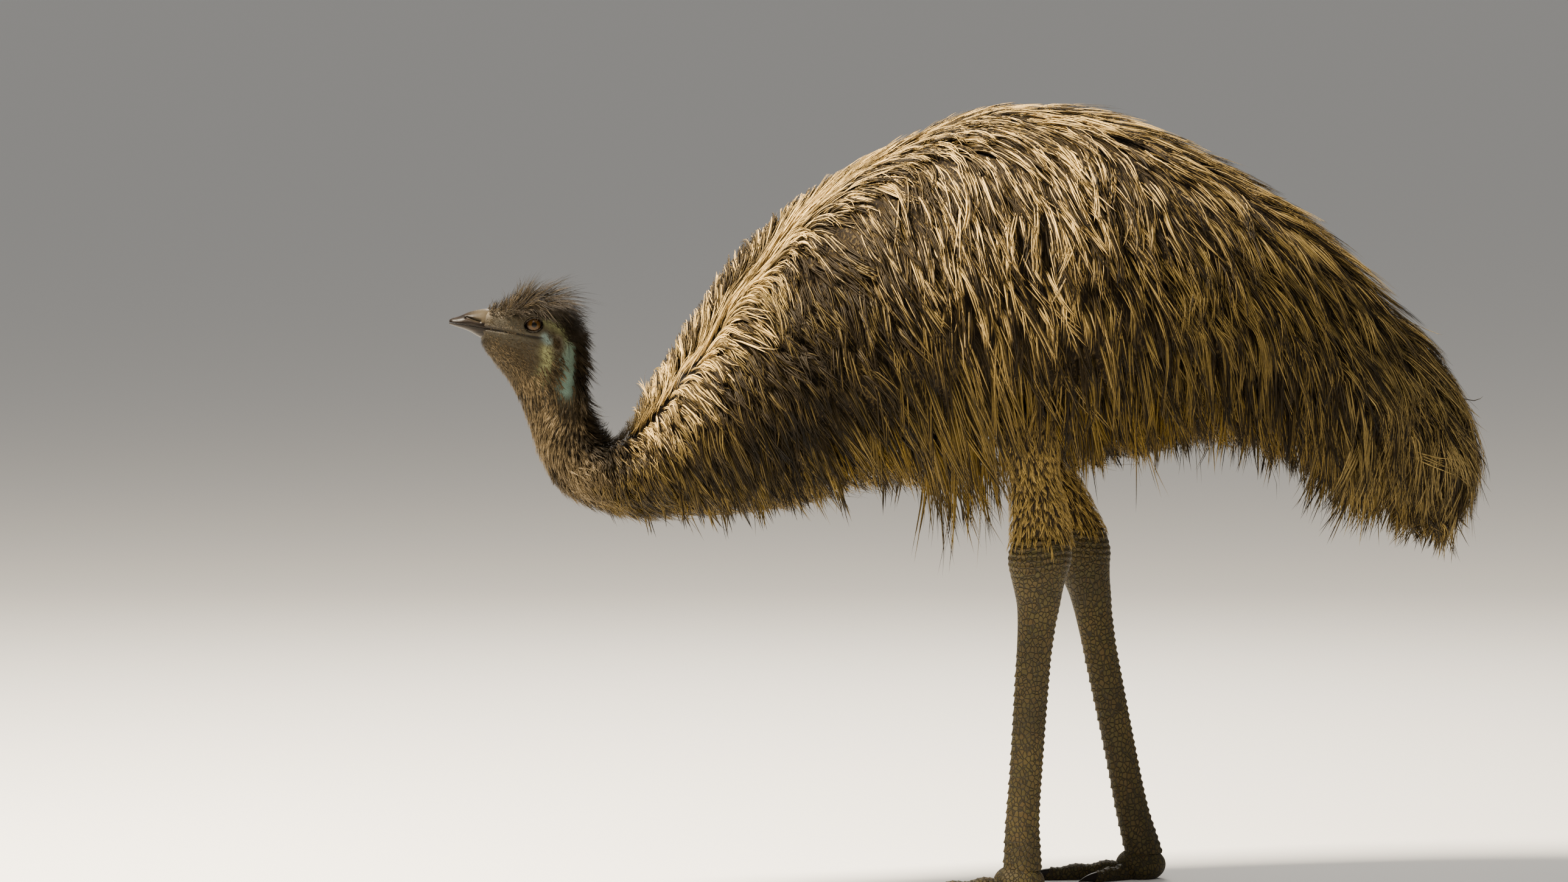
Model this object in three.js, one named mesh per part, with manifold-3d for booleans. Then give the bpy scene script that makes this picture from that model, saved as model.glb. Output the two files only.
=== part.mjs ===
// A standing adult emu, life size, with its head lowered and its back arched.
// Millimetres, +Z up. The bird faces -X, and its left side is towards -Y.
// The origin is the bottom centre of the whole bird's box, on the ground between its feet.
import * as THREE from "three";
import { mergeVertices } from "three/addons/utils/BufferGeometryUtils.js";
import Module from "manifold-3d";

const wasm = await Module();
wasm.setup();

// Driving dimensions. X is measured from the top of the back, Z from the ground.
const GAP = 0.36; // between touching pieces
const SLIVER = 0.2; // edges shorter than this are closed up
const BACK_HEIGHT = 1040;
const BACK_HALF_WIDTH = 220;
const SKULL_HALF_WIDTH = 31;
const NECK_HALF_WIDTH = 30;

const BILL_LENGTH = 47; // from the forehead feathers to the tip
const MOUTH_SLOPE = 0.17; // the mouth line drops this much for each millimetre backwards
const MOUTH_GAP = 0.9;
const NOSTRIL = new THREE.Vector3(-748, 0, 760.5);

const EYE = new THREE.Vector3(-671, 18.6, 754); // the left one is at -Y
const EYE_RADIUS = 13.4;
const LID_THICKNESS = 1.3;
const LID_OPENING = [12.2, 9.2]; // half width and half height of the opening
const BROW = { out: 20.5, up: 10.5, half: new THREE.Vector3(17, 10.4, 5.4), tilt: 0.4 };
const EAR = new THREE.Vector3(-644, 28.5, 729);

const HOCK_HEIGHT = 436;
const FOOT_HEIGHT = 34; // top of the toe roots
const MIDDLE_TOE = 128;
const SIDE_TOE = 78;
const CLAW_LENGTH = 27;

const SKIN = new THREE.MeshStandardMaterial({ color: 0x5b7778, roughness: 0.7 });
const HAIR = new THREE.MeshStandardMaterial({ color: 0x3a2f26, roughness: 0.85 });
const PLUMAGE = new THREE.MeshStandardMaterial({ color: 0x6e5a45, roughness: 0.85 });
const SHANK_FEATHER = new THREE.MeshStandardMaterial({ color: 0x8f7a52, roughness: 0.85 });
const SCALE = new THREE.MeshStandardMaterial({ color: 0x5d503c, roughness: 0.6 });
const HORN = new THREE.MeshStandardMaterial({ color: 0x241d1c, roughness: 0.4 });
const CORNEA = new THREE.MeshStandardMaterial({ color: 0x5c3d12, roughness: 0.08 });

// The body from the bill's base to the tail's end, as slices that fan round the neck's bends.
// Each has its dorsal and ventral points [x, z], its half width, the depth of its coat from the
// tips to the skin, and how far below its middle it is widest, from -1 to 1. The outline is that
// of the feather tips, or of the skin where the coat is short.
const SLICES = [
  { name: "bill base", top: [-731, 773], bottom: [-738, 737], half: 19, coat: 0, low: -0.1 },
  { name: "forehead", top: [-706, 777], bottom: [-732, 721], half: 24.5, coat: 0, low: -0.22 },
  { name: "brow", top: [-682, 781], bottom: [-723, 708], half: 29.5, coat: 0, low: -0.28 },
  { name: "crown", top: [-652, 783], bottom: [-715, 698], half: SKULL_HALF_WIDTH, coat: 0, low: -0.26 },
  { name: "occiput", top: [-626, 770], bottom: [-707, 689], half: 30, coat: 0, low: -0.16 },
  { name: "ear", top: [-612, 742], bottom: [-699, 679], half: 28.5, coat: 0, low: -0.05 },
  { name: "throat", top: [-607, 697], bottom: [-689, 663], half: 28.5, coat: 0, low: 0 },
  { name: "upper neck", top: [-602, 652], bottom: [-679, 640], half: NECK_HALF_WIDTH, coat: 0, low: 0 },
  { name: "mid neck", top: [-592, 622], bottom: [-668, 604], half: 33, coat: 8, low: 0 },
  { name: "lower neck", top: [-579, 607], bottom: [-653, 566], half: 38, coat: 16, low: 0 },
  { name: "neck bend", top: [-563, 605], bottom: [-628, 532], half: 46, coat: 26, low: 0.05 },
  { name: "neck foot", top: [-545, 618], bottom: [-588, 510], half: 57, coat: 34, low: 0.08 },
  { name: "neck root", top: [-526, 650], bottom: [-536, 499], half: 74, coat: 42, low: 0.1 },
  { name: "breast front", top: [-502, 700], bottom: [-486, 497], half: 100, coat: 46, low: 0.12 },
  { name: "breast", top: [-455, 772], bottom: [-411, 497], half: 130, coat: 50, low: 0.15 },
  { name: "shoulder", top: [-390, 858], bottom: [-333, 502], half: 158, coat: 54, low: 0.16 },
  { name: "mantle", top: [-308, 920], bottom: [-251, 522], half: 182, coat: 56, low: 0.16 },
  { name: "back front", top: [-203, 982], bottom: [-162, 533], half: 204, coat: 58, low: 0.16 },
  { name: "back top", top: [-50, BACK_HEIGHT], bottom: [-40, 541], half: BACK_HALF_WIDTH, coat: 60, low: 0.16 },
  { name: "loin", top: [104, 1029], bottom: [89, 552], half: 221, coat: 62, low: 0.15 },
  { name: "rump", top: [240, 972], bottom: [219, 580], half: 206, coat: 64, low: 0.13 },
  { name: "vent", top: [376, 886], bottom: [316, 566], half: 180, coat: 66, low: 0.1 },
  { name: "tail root", top: [477, 792], bottom: [372, 520], half: 150, coat: 66, low: 0.06 },
  { name: "tail", top: [556, 700], bottom: [432, 484], half: 118, coat: 60, low: 0.04 },
  { name: "tail low", top: [600, 612], bottom: [492, 458], half: 88, coat: 50, low: 0 },
  { name: "tail end", top: [612, 530], bottom: [548, 440], half: 52, coat: 34, low: 0 },
];
const at = (name) => SLICES.findIndex((s) => s.name === name);

// Catmull-Rom through one value of the slices, at a fractional slice number.
function along(u, value) {
  const i = Math.min(Math.max(Math.floor(u), 0), SLICES.length - 2);
  const t = u - i;
  const pick = (k) => value(SLICES[Math.min(Math.max(k, 0), SLICES.length - 1)]);
  const [a, b, c, d] = [pick(i - 1), pick(i), pick(i + 1), pick(i + 2)];
  return 0.5 * (2 * b + (c - a) * t + (2 * a - 5 * b + 4 * c - d) * t * t + (3 * b - a - 3 * c + d) * t ** 3);
}

// A point of the outline: u runs from the bill to the tail, turn from 0 on the back to PI on the
// belly. side is -1 on the left and 1 on the right.
function bodyPoint(u, turn, side) {
  const top = new THREE.Vector3(along(u, (s) => s.top[0]), 0, along(u, (s) => s.top[1]));
  const bottom = new THREE.Vector3(along(u, (s) => s.bottom[0]), 0, along(u, (s) => s.bottom[1]));
  const half = along(u, (s) => s.half);
  const low = along(u, (s) => s.low);
  const middle = top.clone().add(bottom).multiplyScalar(0.5);
  const up = top.clone().sub(middle);
  const point = middle.addScaledVector(up, Math.cos(turn));
  point.y = side * half * Math.sin(turn) * (1 - low * Math.cos(turn));
  return point;
}

// The two directions of the outline at a point, tailwards and down its slice, and its normal.
function bodyFrame(u, turn, side) {
  const step = 0.02;
  const from = Math.max(u - step, 0);
  const to = Math.min(u + step, SLICES.length - 1);
  const tailward = bodyPoint(to, turn, side).sub(bodyPoint(from, turn, side)).divideScalar(to - from);
  const under = bodyPoint(u, turn + step, side).sub(bodyPoint(u, turn - step, side)).divideScalar(2 * step);
  const normal = tailward.clone().cross(under).multiplyScalar(side).normalize();
  return { tailward, under, normal };
}

const smooth = (from, to, value) => THREE.MathUtils.smoothstep(value, from, to);

// How far the core lies under the outline: half of the coat, and more on the belly,
// where the outline is that of the hanging fringe.
const CORE_SHARE = 0.5;
const FRINGE_SHARE = 1.3;
function coreDepth(u, turn) {
  const hanging = FRINGE_SHARE * smooth(1.7, 2.7, turn) * smooth(at("breast front"), at("shoulder"), u);
  return CORE_SHARE * along(u, (s) => s.coat) * (1 + hanging);
}

// A closed solid from a three.js geometry whose vertices are moved by map, which gets each vertex.
function solidFrom(geometry, map) {
  const shaped = geometry.clone();
  shaped.deleteAttribute("normal");
  shaped.deleteAttribute("uv");
  const position = shaped.getAttribute("position");
  const vertex = new THREE.Vector3();
  for (let i = 0; i < position.count; i++) {
    vertex.fromBufferAttribute(position, i);
    const moved = map ? map(vertex) : vertex;
    position.setXYZ(i, moved.x, moved.y, moved.z);
  }
  const merged = mergeVertices(shaped, 1e-3);
  const solid = new wasm.Manifold(
    new wasm.Mesh({
      numProp: 3,
      vertProperties: new Float32Array(merged.getAttribute("position").array),
      triVerts: new Uint32Array(merged.index.array),
    }),
  );
  return solid.volume() < 0 ? inverted(merged) : solid;
}

function inverted(geometry) {
  const triVerts = new Uint32Array(geometry.index.array);
  for (let i = 0; i < triVerts.length; i += 3) {
    [triVerts[i + 1], triVerts[i + 2]] = [triVerts[i + 2], triVerts[i + 1]];
  }
  const vertProperties = new Float32Array(geometry.getAttribute("position").array);
  return new wasm.Manifold(new wasm.Mesh({ numProp: 3, vertProperties, triVerts }));
}

// A tube closed at both ends: place(stop, angle, reach) gives the point at one of its stops,
// at that angle round it, with reach 0 on its axis and 1 on its surface.
function tube(sides, stops, place) {
  const steps = stops.length - 1;
  const cylinder = new THREE.CylinderGeometry(1, 1, 1, sides, steps);
  return solidFrom(cylinder, (v) => {
    const stop = stops[Math.round((v.y + 0.5) * steps)];
    return place(stop, Math.atan2(v.z, v.x), Math.hypot(v.x, v.z));
  });
}

// Numbers from one value to another in equal steps.
const steps = (from, to, count) => Array.from({ length: count + 1 }, (_, i) => from + ((to - from) * i) / count);

// An ellipsoid of those half sizes, centred at a point and turned about Y by tilt.
function ellipsoid(centre, half, tilt = 0, sides = 12, rings = 8) {
  const turn = new THREE.Euler(0, tilt, 0);
  return solidFrom(new THREE.SphereGeometry(1, sides, rings), (v) =>
    v.clone().multiply(half).applyEuler(turn).add(centre),
  );
}

const join = (pieces) => wasm.Manifold.union(pieces);

// The largest closed surface of a solid, with its slivers evened out.
function largest(solid) {
  const parts = solid.simplify(SLIVER).decompose();
  return parts.reduce((a, b) => (a.volume() > b.volume() ? a : b));
}

// Parts a solid at the plane of one slice: returns what lies headward and tailward of it.
function partAt(solid, u) {
  const top = bodyPoint(u, 0, 1);
  const bottom = bodyPoint(u, Math.PI, 1);
  const normal = new THREE.Vector3(bottom.z - top.z, 0, top.x - bottom.x).normalize();
  const headward = bodyPoint(u - 0.2, Math.PI / 2, 1).sub(top).dot(normal);
  if (headward < 0) normal.negate();
  const offset = normal.dot(top);
  const reversed = normal.clone().negate();
  return [
    solid.trimByPlane(normal.toArray(), offset + GAP / 2),
    solid.trimByPlane(reversed.toArray(), -offset + GAP / 2),
  ];
}

// The body as one tube. Its stops are closer at the head, where the form turns quickly.
function bodyTube(sides, spacing) {
  const stops = [...new Set(spacing.flatMap(([from, to, count]) => steps(from, to, count)))];
  return tube(sides, stops, (u, angle, reach) => {
    const turn = Math.abs(angle);
    const side = Math.sign(angle) || 1;
    if (reach < 0.5) return bodyPoint(u, 0, 1).add(bodyPoint(u, Math.PI, 1)).multiplyScalar(0.5);
    const deep = coreDepth(u, turn);
    const point = bodyPoint(u, turn, side).addScaledVector(bodyFrame(u, turn, side).normal, -deep);
    if (turn < 0.01 || turn > Math.PI - 0.01) point.y = 0;
    return point;
  });
}

// Meshes of the finished group.
const emu = new THREE.Group();

function addNode(name, solid, material) {
  const mesh = solid.getMesh();
  const geometry = new THREE.BufferGeometry();
  geometry.setAttribute("position", new THREE.BufferAttribute(mesh.vertProperties, 3));
  geometry.setIndex(new THREE.BufferAttribute(mesh.triVerts, 1));
  geometry.computeVertexNormals();
  const node = new THREE.Mesh(geometry, material);
  node.name = name;
  emu.add(node);
  return node;
}

// Bill: a broad low horn sheath, hooked a little at the tip, parted along the mouth.
const billBase = { top: SLICES[0].top, bottom: SLICES[0].bottom };
const BILL_SLICES = [
  { back: 1, top: 773, bottom: 737, half: 19 },
  { back: 0.62, top: 770, bottom: 745.5, half: 15.5 },
  { back: 0.3, top: 764.5, bottom: 750, half: 11.5 },
  { back: 0.08, top: 762, bottom: 753, half: 7.5 },
  { back: 0, top: 760, bottom: 754.5, half: 4 },
];

function mouthHeight(x) {
  return 757 - MOUTH_SLOPE * (x + 779);
}

function billSolid() {
  const baseX = billBase.top[0];
  const slant = billBase.bottom[0] - billBase.top[0];
  return tube(16, BILL_SLICES, (s, angle, reach) => {
    const x = baseX - BILL_LENGTH * (1 - s.back);
    const middle = (s.top + s.bottom) / 2;
    const height = ((s.top - s.bottom) / 2) * Math.cos(angle) * reach;
    const lean = (slant * s.back * (1 - Math.cos(angle) * reach)) / 2;
    return new THREE.Vector3(x + lean, s.half * Math.sin(angle) * reach, middle + height);
  });
}

// The slit of the mouth, from in front of the bill back to the gape under the eye.
function mouthSlit(fromX, toX, gap, halfWidth) {
  const slab = new THREE.BoxGeometry(toX - fromX, 2 * halfWidth, gap);
  const middle = (fromX + toX) / 2;
  return solidFrom(slab, (v) => new THREE.Vector3(v.x + middle, v.y, v.z + mouthHeight(v.x + middle)));
}

function addBill() {
  const whole = billSolid();
  const base = new THREE.Vector3(billBase.top[0], 0, billBase.top[1]);
  const down = new THREE.Vector3(billBase.bottom[0], 0, billBase.bottom[1]).sub(base);
  const normal = new THREE.Vector3(down.z, 0, -down.x).normalize();
  if (normal.x > 0) normal.negate();
  const sheath = whole.trimByPlane(normal.toArray(), normal.dot(base) + GAP);
  const nostril = ellipsoid(NOSTRIL, new THREE.Vector3(11, 30, 2.3), 0.3, 10, 4);
  const bridge = ellipsoid(NOSTRIL, new THREE.Vector3(16, 5, 9), 0.3, 8, 6);
  const parted = sheath
    .subtract(mouthSlit(-800, -700, GAP + 0.1, 40))
    .subtract(nostril.subtract(bridge))
    .decompose()
    .sort((a, b) => b.boundingBox().max[2] - a.boundingBox().max[2]);
  const bySize = parted.sort((a, b) => b.volume() - a.volume()).slice(0, 2);
  bySize.sort((a, b) => b.boundingBox().max[2] - a.boundingBox().max[2]);
  addNode("bill_upper", largest(bySize[0]), HORN);
  addNode("bill_lower", largest(bySize[1]), HORN);
}

// Head: lids, brow, ear cup and the mouth line worked into the front of the body tube.
function headDetails(body) {
  let solid = body;
  for (const side of [-1, 1]) {
    const eye = new THREE.Vector3(EYE.x, side * EYE.y, EYE.z);
    const lid = EYE_RADIUS + GAP + LID_THICKNESS;
    const lids = ellipsoid(eye, new THREE.Vector3(lid, lid, lid), 0, 12, 8);
    const browCentre = new THREE.Vector3(EYE.x + 2, side * BROW.out, EYE.z + BROW.up);
    const brow = ellipsoid(browCentre, BROW.half, BROW.tilt, 8, 6);
    const outside = new THREE.Vector3(EYE.x, side * (EYE.y + EYE_RADIUS + 3), EYE.z - 0.5);
    const opening = ellipsoid(outside, new THREE.Vector3(LID_OPENING[0], EYE_RADIUS, LID_OPENING[1]), 0.1, 12, 6);
    const room = EYE_RADIUS + GAP;
    const socket = ellipsoid(eye, new THREE.Vector3(room, room, room), 0, 12, 8);
    const ear = new THREE.Vector3(EAR.x, side * EAR.y, EAR.z);
    const earRim = ellipsoid(ear.clone().setY(side * (EAR.y - 1.2)), new THREE.Vector3(8.5, 3.4, 11), 0.35, 10, 6);
    const earCup = ellipsoid(ear.clone().setY(side * (EAR.y + 1)), new THREE.Vector3(5.5, 4.4, 8), 0.35, 10, 6);
    solid = join([solid, lids, brow, earRim]).subtract(join([opening, socket, earCup]));
  }
  const gape = EYE.x + 12;
  return solid.subtract(mouthSlit(-800, gape, MOUTH_GAP, 60));
}

function addEyes() {
  for (const [word, side] of [["left", -1], ["right", 1]]) {
    const ball = ellipsoid(
      new THREE.Vector3(EYE.x, side * EYE.y, EYE.z),
      new THREE.Vector3(EYE_RADIUS, EYE_RADIUS, EYE_RADIUS),
      0,
      12,
      8,
    );
    addNode("eye_" + word, ball, CORNEA);
  }
}

// Legs: the joints of each as [x, z, distance from the middle]. The left one is further forward.
const LEGS = [
  { word: "left", side: -1, hip: [-30, 640, 116], hock: [-6, HOCK_HEIGHT, 94], foot: [-37, FOOT_HEIGHT, 88] },
  { word: "right", side: 1, hip: [10, 640, 116], hock: [90, HOCK_HEIGHT, 94], foot: [165, FOOT_HEIGHT, 88] },
];
// Share of the way down, half size fore and aft, half size sideways, and shift backwards.
const DRUMSTICK = [
  [0, 56, 44, 0],
  [0.25, 44, 38, -4],
  [0.5, 37, 32, -3],
  [0.75, 40, 31, 0],
  [1, 43, 28, 0],
];
const SHANK = [
  [0, 41, 27, 0],
  [0.035, 43, 28, 0],
  [0.07, 42, 28.5, 0],
  [0.11, 37.5, 27, 0],
  [0.155, 32.5, 24, 1],
  [0.2, 28.5, 21, 2],
  [0.26, 25, 18, 1],
  [0.36, 22.5, 16.5, 0],
  [0.7, 21, 16, 0],
  [0.86, 22, 18, 0],
  [1, 25, 23, 4],
];
const HOCK_TOP = 34; // the feathers end this far above the middle of the hock
const SHANK_SCUTES = 12; // down the front of the shank, each lapping the one below
const SCUTES_FROM = 0.36;
const SCUTE_LIP = 2.4; // how far a scute's lower edge stands out

// The point of a limb at a share of the way from one joint to the next, swollen by so many millimetres.
function limbPoint(upper, lower, table, share, angle, reach, swell = 0) {
  const i = Math.min(Math.max(table.findIndex((row) => row[0] > share) - 1, 0), table.length - 2);
  const last = share >= table.at(-1)[0] ? table.length - 2 : i;
  const part = (share - table[last][0]) / (table[last + 1][0] - table[last][0]);
  const mix = (k) => table[last][k] + (table[last + 1][k] - table[last][k]) * part;
  const [x, z, y] = upper.map((value, k) => value + (lower[k] - value) * share);
  const fore = (mix(1) + swell) * reach * Math.cos(angle);
  const wide = (mix(2) + swell) * reach * Math.sin(angle);
  return new THREE.Vector3(x + mix(3) + fore, y + wide, z);
}

const mirrored = (leg, v) => new THREE.Vector3(v.x, leg.side * v.y, v.z);

// Where the bare skin of a leg starts, just above its hock.
function bareTop(leg) {
  const share = HOCK_TOP / (leg.hip[1] - leg.hock[1]);
  return leg.hock.map((value, k) => value + (leg.hip[k] - value) * share);
}

function drumstick(leg, swell) {
  const end = bareTop(leg);
  end[1] += GAP;
  const stops = DRUMSTICK.map((row) => row[0]);
  return tube(16, stops, (share, angle, reach) =>
    mirrored(leg, limbPoint(leg.hip, end, DRUMSTICK, share, angle, reach, swell)),
  );
}

// Shank: the bare hock and the scaled tarsus, with a column of scutes down its front.
function shankTube(leg, swell) {
  const top = bareTop(leg);
  const smooth = SHANK.map((row) => row[0]).filter((share) => share <= SCUTES_FROM);
  const pitch = (0.97 - SCUTES_FROM) / SHANK_SCUTES;
  const scutes = steps(0, SHANK_SCUTES - 1, SHANK_SCUTES - 1).flatMap((i) => [
    { share: SCUTES_FROM + pitch * (i + 0.08), lip: 0.2 },
    { share: SCUTES_FROM + pitch * (i + 0.97), lip: 1 },
  ]);
  const stops = [...smooth.map((share) => ({ share, lip: 0 })), ...scutes, { share: 1, lip: 0 }];
  return tube(12, stops, ({ share, lip }, angle, reach) => {
    const raised = Math.cos(angle) < -0.45 ? SCUTE_LIP * lip : 0;
    return mirrored(leg, limbPoint(top, leg.foot, SHANK, share, angle, reach, raised + swell));
  });
}

function footPad(leg, swell) {
  const centre = new THREE.Vector3(leg.foot[0] - 2, leg.side * leg.foot[2], 19);
  const half = new THREE.Vector3(34 + swell, 30 + swell, 25 + swell);
  return ellipsoid(centre, half, 0, 12, 8);
}

// Toes: three, jointed, flat underneath, scuted on top, each with its claw.
const TOES = [
  { word: "middle", spread: 0, length: MIDDLE_TOE, width: 15, scutes: 7 },
  { word: "inner", spread: -0.5, length: SIDE_TOE, width: 13, scutes: 4 },
  { word: "outer", spread: 0.52, length: SIDE_TOE - 4, width: 12.5, scutes: 4 },
];
const TOE_START = 24; // from the shank's axis to where a toe leaves the pad
const TOE_LIP = 1.8; // how far the front edge of a toe's scute stands out
const TOE_TAPER = 0.4;

function toeFrame(leg, toe) {
  const heading = Math.PI - toe.spread * leg.side;
  const direction = new THREE.Vector3(Math.cos(heading), Math.sin(heading), 0);
  const across = new THREE.Vector3(-direction.y, direction.x, 0);
  const root = new THREE.Vector3(leg.foot[0] - 2, leg.side * leg.foot[2], 0);
  return { direction, across, root };
}

// A toe runs from under the shank to its claw. Its pads swell between its joints.
function toeSolid(leg, toe, swell = 0) {
  const { direction, across, root } = toeFrame(leg, toe);
  const stops = steps(0, toe.scutes - 1, toe.scutes - 1).flatMap((i) => [
    { t: (i + 0.06) / toe.scutes, lip: 0.1, end: 1 },
    { t: (i + 0.98) / toe.scutes, lip: 1, end: 1 },
  ]);
  stops.push({ t: 1.03, lip: 0, end: 0.8 });
  const solid = tube(8, stops, ({ t, lip, end }, angle, reach) => {
    const size = end * toe.width * (1 - TOE_TAPER * t) * (1 + 0.06 * Math.cos(t * Math.PI * 6));
    const raised = Math.sin(angle) > 0.2 ? TOE_LIP * lip : 0;
    const radius = (size + raised + swell) * reach;
    return root
      .clone()
      .addScaledVector(direction, TOE_START + (toe.length - TOE_START) * t)
      .addScaledVector(across, radius * Math.cos(angle))
      .add(new THREE.Vector3(0, 0, 0.84 * size + radius * Math.sin(angle)));
  });
  return solid.trimByPlane([0, 0, 1], 0);
}

function clawSolid(leg, toe) {
  const { direction, across, root } = toeFrame(leg, toe);
  const thick = toe.width * (1 - TOE_TAPER) * 0.78;
  const start = TOE_START + (toe.length - TOE_START) * 1.03 + GAP;
  const solid = tube(8, steps(0, 1, 4), (t, angle, reach) => {
    const radius = thick * (1 - 0.86 * t ** 1.4) * reach;
    const height = thick * (1 - 0.7 * t * t) + 0.6;
    return root
      .clone()
      .addScaledVector(direction, start + CLAW_LENGTH * t)
      .addScaledVector(across, 0.8 * radius * Math.cos(angle))
      .add(new THREE.Vector3(0, 0, height + radius * Math.sin(angle)));
  });
  return solid.trimByPlane([0, 0, 1], 0.5);
}

function addLegs() {
  for (const leg of LEGS) {
    addNode("drumstick_" + leg.word, drumstick(leg, 0), SHANK_FEATHER);
    const shank = join([shankTube(leg, 0), footPad(leg, 0)]).trimByPlane([0, 0, 1], 0);
    addNode("shank_" + leg.word, largest(shank), SCALE);
    const taken = [shankTube(leg, GAP), footPad(leg, GAP)];
    for (const toe of TOES) {
      const solid = toeSolid(leg, toe).subtract(join(taken));
      addNode(`toe_${toe.word}_${leg.word}`, largest(solid), SCALE);
      addNode(`claw_${toe.word}_${leg.word}`, clawSolid(leg, toe), HORN);
      taken.push(toeSolid(leg, toe, GAP));
    }
  }
}

// Locks: flat tapered strands with a low ridge, which lie along the coat over the next ones' roots.
// The root is sunk in the core, the ridge rises to the outline, and the tip ends on it.
const LOCK_STOPS = [0, 0.3, 0.66, 1];
const LOCK_WIDTH = [0.6, 1, 0.84];
const LOCK_THICKNESS = [1, 0.95, 0.7];
const LOCK_RISE = [1.2, 0.32, 0.03];
const BACK_LIFT = 7; // how much further the locks beside the parting stand up
const FALL = new THREE.Vector3(0.14, 0, -1).normalize(); // how a hanging lock falls
const FLANK_TUFT = { x: -110, spread: 60, drop: 34 }; // the longer fringe in front of the legs

// The height that the tips of the hanging fringe reach at a slice.
function fringeHeight(u) {
  const { x, z } = bodyPoint(u, Math.PI, 1);
  return z - FLANK_TUFT.drop * Math.exp(-(((x - FLANK_TUFT.x) / FLANK_TUFT.spread) ** 2));
}

// The path of a lock over the coat, as frames at its stops. Where the body turns under, the lock
// hangs free, down to the fringe. rise(i, core) gives how deep its ridge lies at each stop.
function lockPath(lock) {
  let { u, turn } = lock;
  const frames = [];
  let falling = 0;
  for (let i = 0; i < LOCK_STOPS.length; i++) {
    const { tailward, under, normal } = bodyFrame(u, turn, lock.side);
    const down = under.clone().normalize();
    const back = tailward.clone().addScaledVector(down, -tailward.dot(down));
    const backLength = back.length();
    back.divideScalar(backLength);
    const slope = lock.flow(u, turn) + lock.swerve;
    const heading = back.clone().multiplyScalar(Math.cos(slope)).addScaledVector(down, Math.sin(slope));
    if (lock.hangs && !falling && i > 0 && normal.z < -0.15 && heading.z < -0.4) {
      const before = frames.at(-1);
      const room = before.point.z - fringeHeight(u) + lock.spare;
      falling = Math.min(lock.length * (1 - LOCK_STOPS[i - 1]), Math.max(room, 30)) / (1 - LOCK_STOPS[i - 1]);
    }
    if (falling) {
      const before = frames.at(-1);
      const point = before.point.clone().addScaledVector(FALL, falling * (LOCK_STOPS[i] - LOCK_STOPS[i - 1]));
      frames.push({ point, normal: before.normal, heading: FALL });
      continue;
    }
    const deep = lock.rise(i, coreDepth(u, turn)) + lock.lower;
    const point = bodyPoint(u, turn, lock.side).addScaledVector(normal, -deep);
    frames.push({ point, normal, heading });
    const ds = lock.length * ((LOCK_STOPS[i + 1] ?? 1) - LOCK_STOPS[i]);
    const du = (Math.cos(slope) * ds) / backLength;
    turn += (Math.sin(slope) * ds - tailward.dot(down) * du) / under.length();
    u = Math.min(u + du, SLICES.length - 1.02);
    turn = Math.min(Math.max(turn, 0.03), Math.PI - 0.03);
  }
  return frames;
}

// One lock as a solid of three sides. grown makes it larger all round by the gap.
function lockSolid(lock, grown = false) {
  const frames = lockPath(lock);
  const pieces = LOCK_WIDTH.length;
  return solidFrom(new THREE.ConeGeometry(1, 1, 3, pieces), (v) => {
    const i = Math.round((v.y + 0.5) * pieces);
    const { point, normal, heading } = frames[i];
    const across = heading.clone().cross(normal).normalize();
    if (i === pieces) return point.clone().addScaledVector(heading, grown ? 4 : 0);
    const radius = 1 - i / pieces;
    const wide = lock.width * LOCK_WIDTH[i] + (grown ? 3.5 : 0);
    const thick = lock.thick * LOCK_THICKNESS[i] + (grown ? 2 * GAP : 0);
    const drop = (1 - v.z / radius) / 1.5;
    return point
      .clone()
      .addScaledVector(across, (wide * v.x) / radius / Math.sin(Math.PI / 3))
      .addScaledVector(normal, (grown ? GAP : 0) - thick * drop);
  });
}

// A number from 0 to 1 that is the same on each run.
let state = 7;
function random() {
  state = (state * 1664525 + 1013904223) % 4294967296;
  return state / 4294967296;
}
const vary = (size) => (random() * 2 - 1) * size;

// The lie of the coat: the angle from tailwards towards the belly, in degrees, on the back,
// the flank and the underside, by slice.
const LIE = [
  { u: 0, back: 0, flank: 6, under: 0 },
  { u: at("upper neck"), back: 4, flank: 12, under: 0 },
  { u: at("neck root"), back: 25, flank: 38, under: 0 },
  { u: at("shoulder"), back: 52, flank: 72, under: 60 },
  { u: at("back top"), back: 26, flank: 80, under: 80 },
  { u: at("rump"), back: 10, flank: 68, under: 75 },
  { u: at("tail root"), back: 4, flank: 46, under: 40 },
  { u: at("tail end"), back: 0, flank: 20, under: 10 },
];
function lieOfCoat(u, turn) {
  const i = Math.min(Math.max(LIE.findIndex((row) => row.u > u) - 1, 0), LIE.length - 2);
  const k = u >= LIE.at(-1).u ? LIE.length - 2 : i;
  const part = Math.min(Math.max((u - LIE[k].u) / (LIE[k + 1].u - LIE[k].u), 0), 1);
  const mix = (key) => LIE[k][key] + (LIE[k + 1][key] - LIE[k][key]) * part;
  const flank = smooth(0.1, 1.2, turn) - smooth(1.9, 2.7, turn);
  const under = smooth(1.9, 2.7, turn);
  const degrees = mix("back") * (1 - flank - under) + mix("flank") * flank + mix("under") * under;
  return (degrees * Math.PI) / 180;
}

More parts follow.
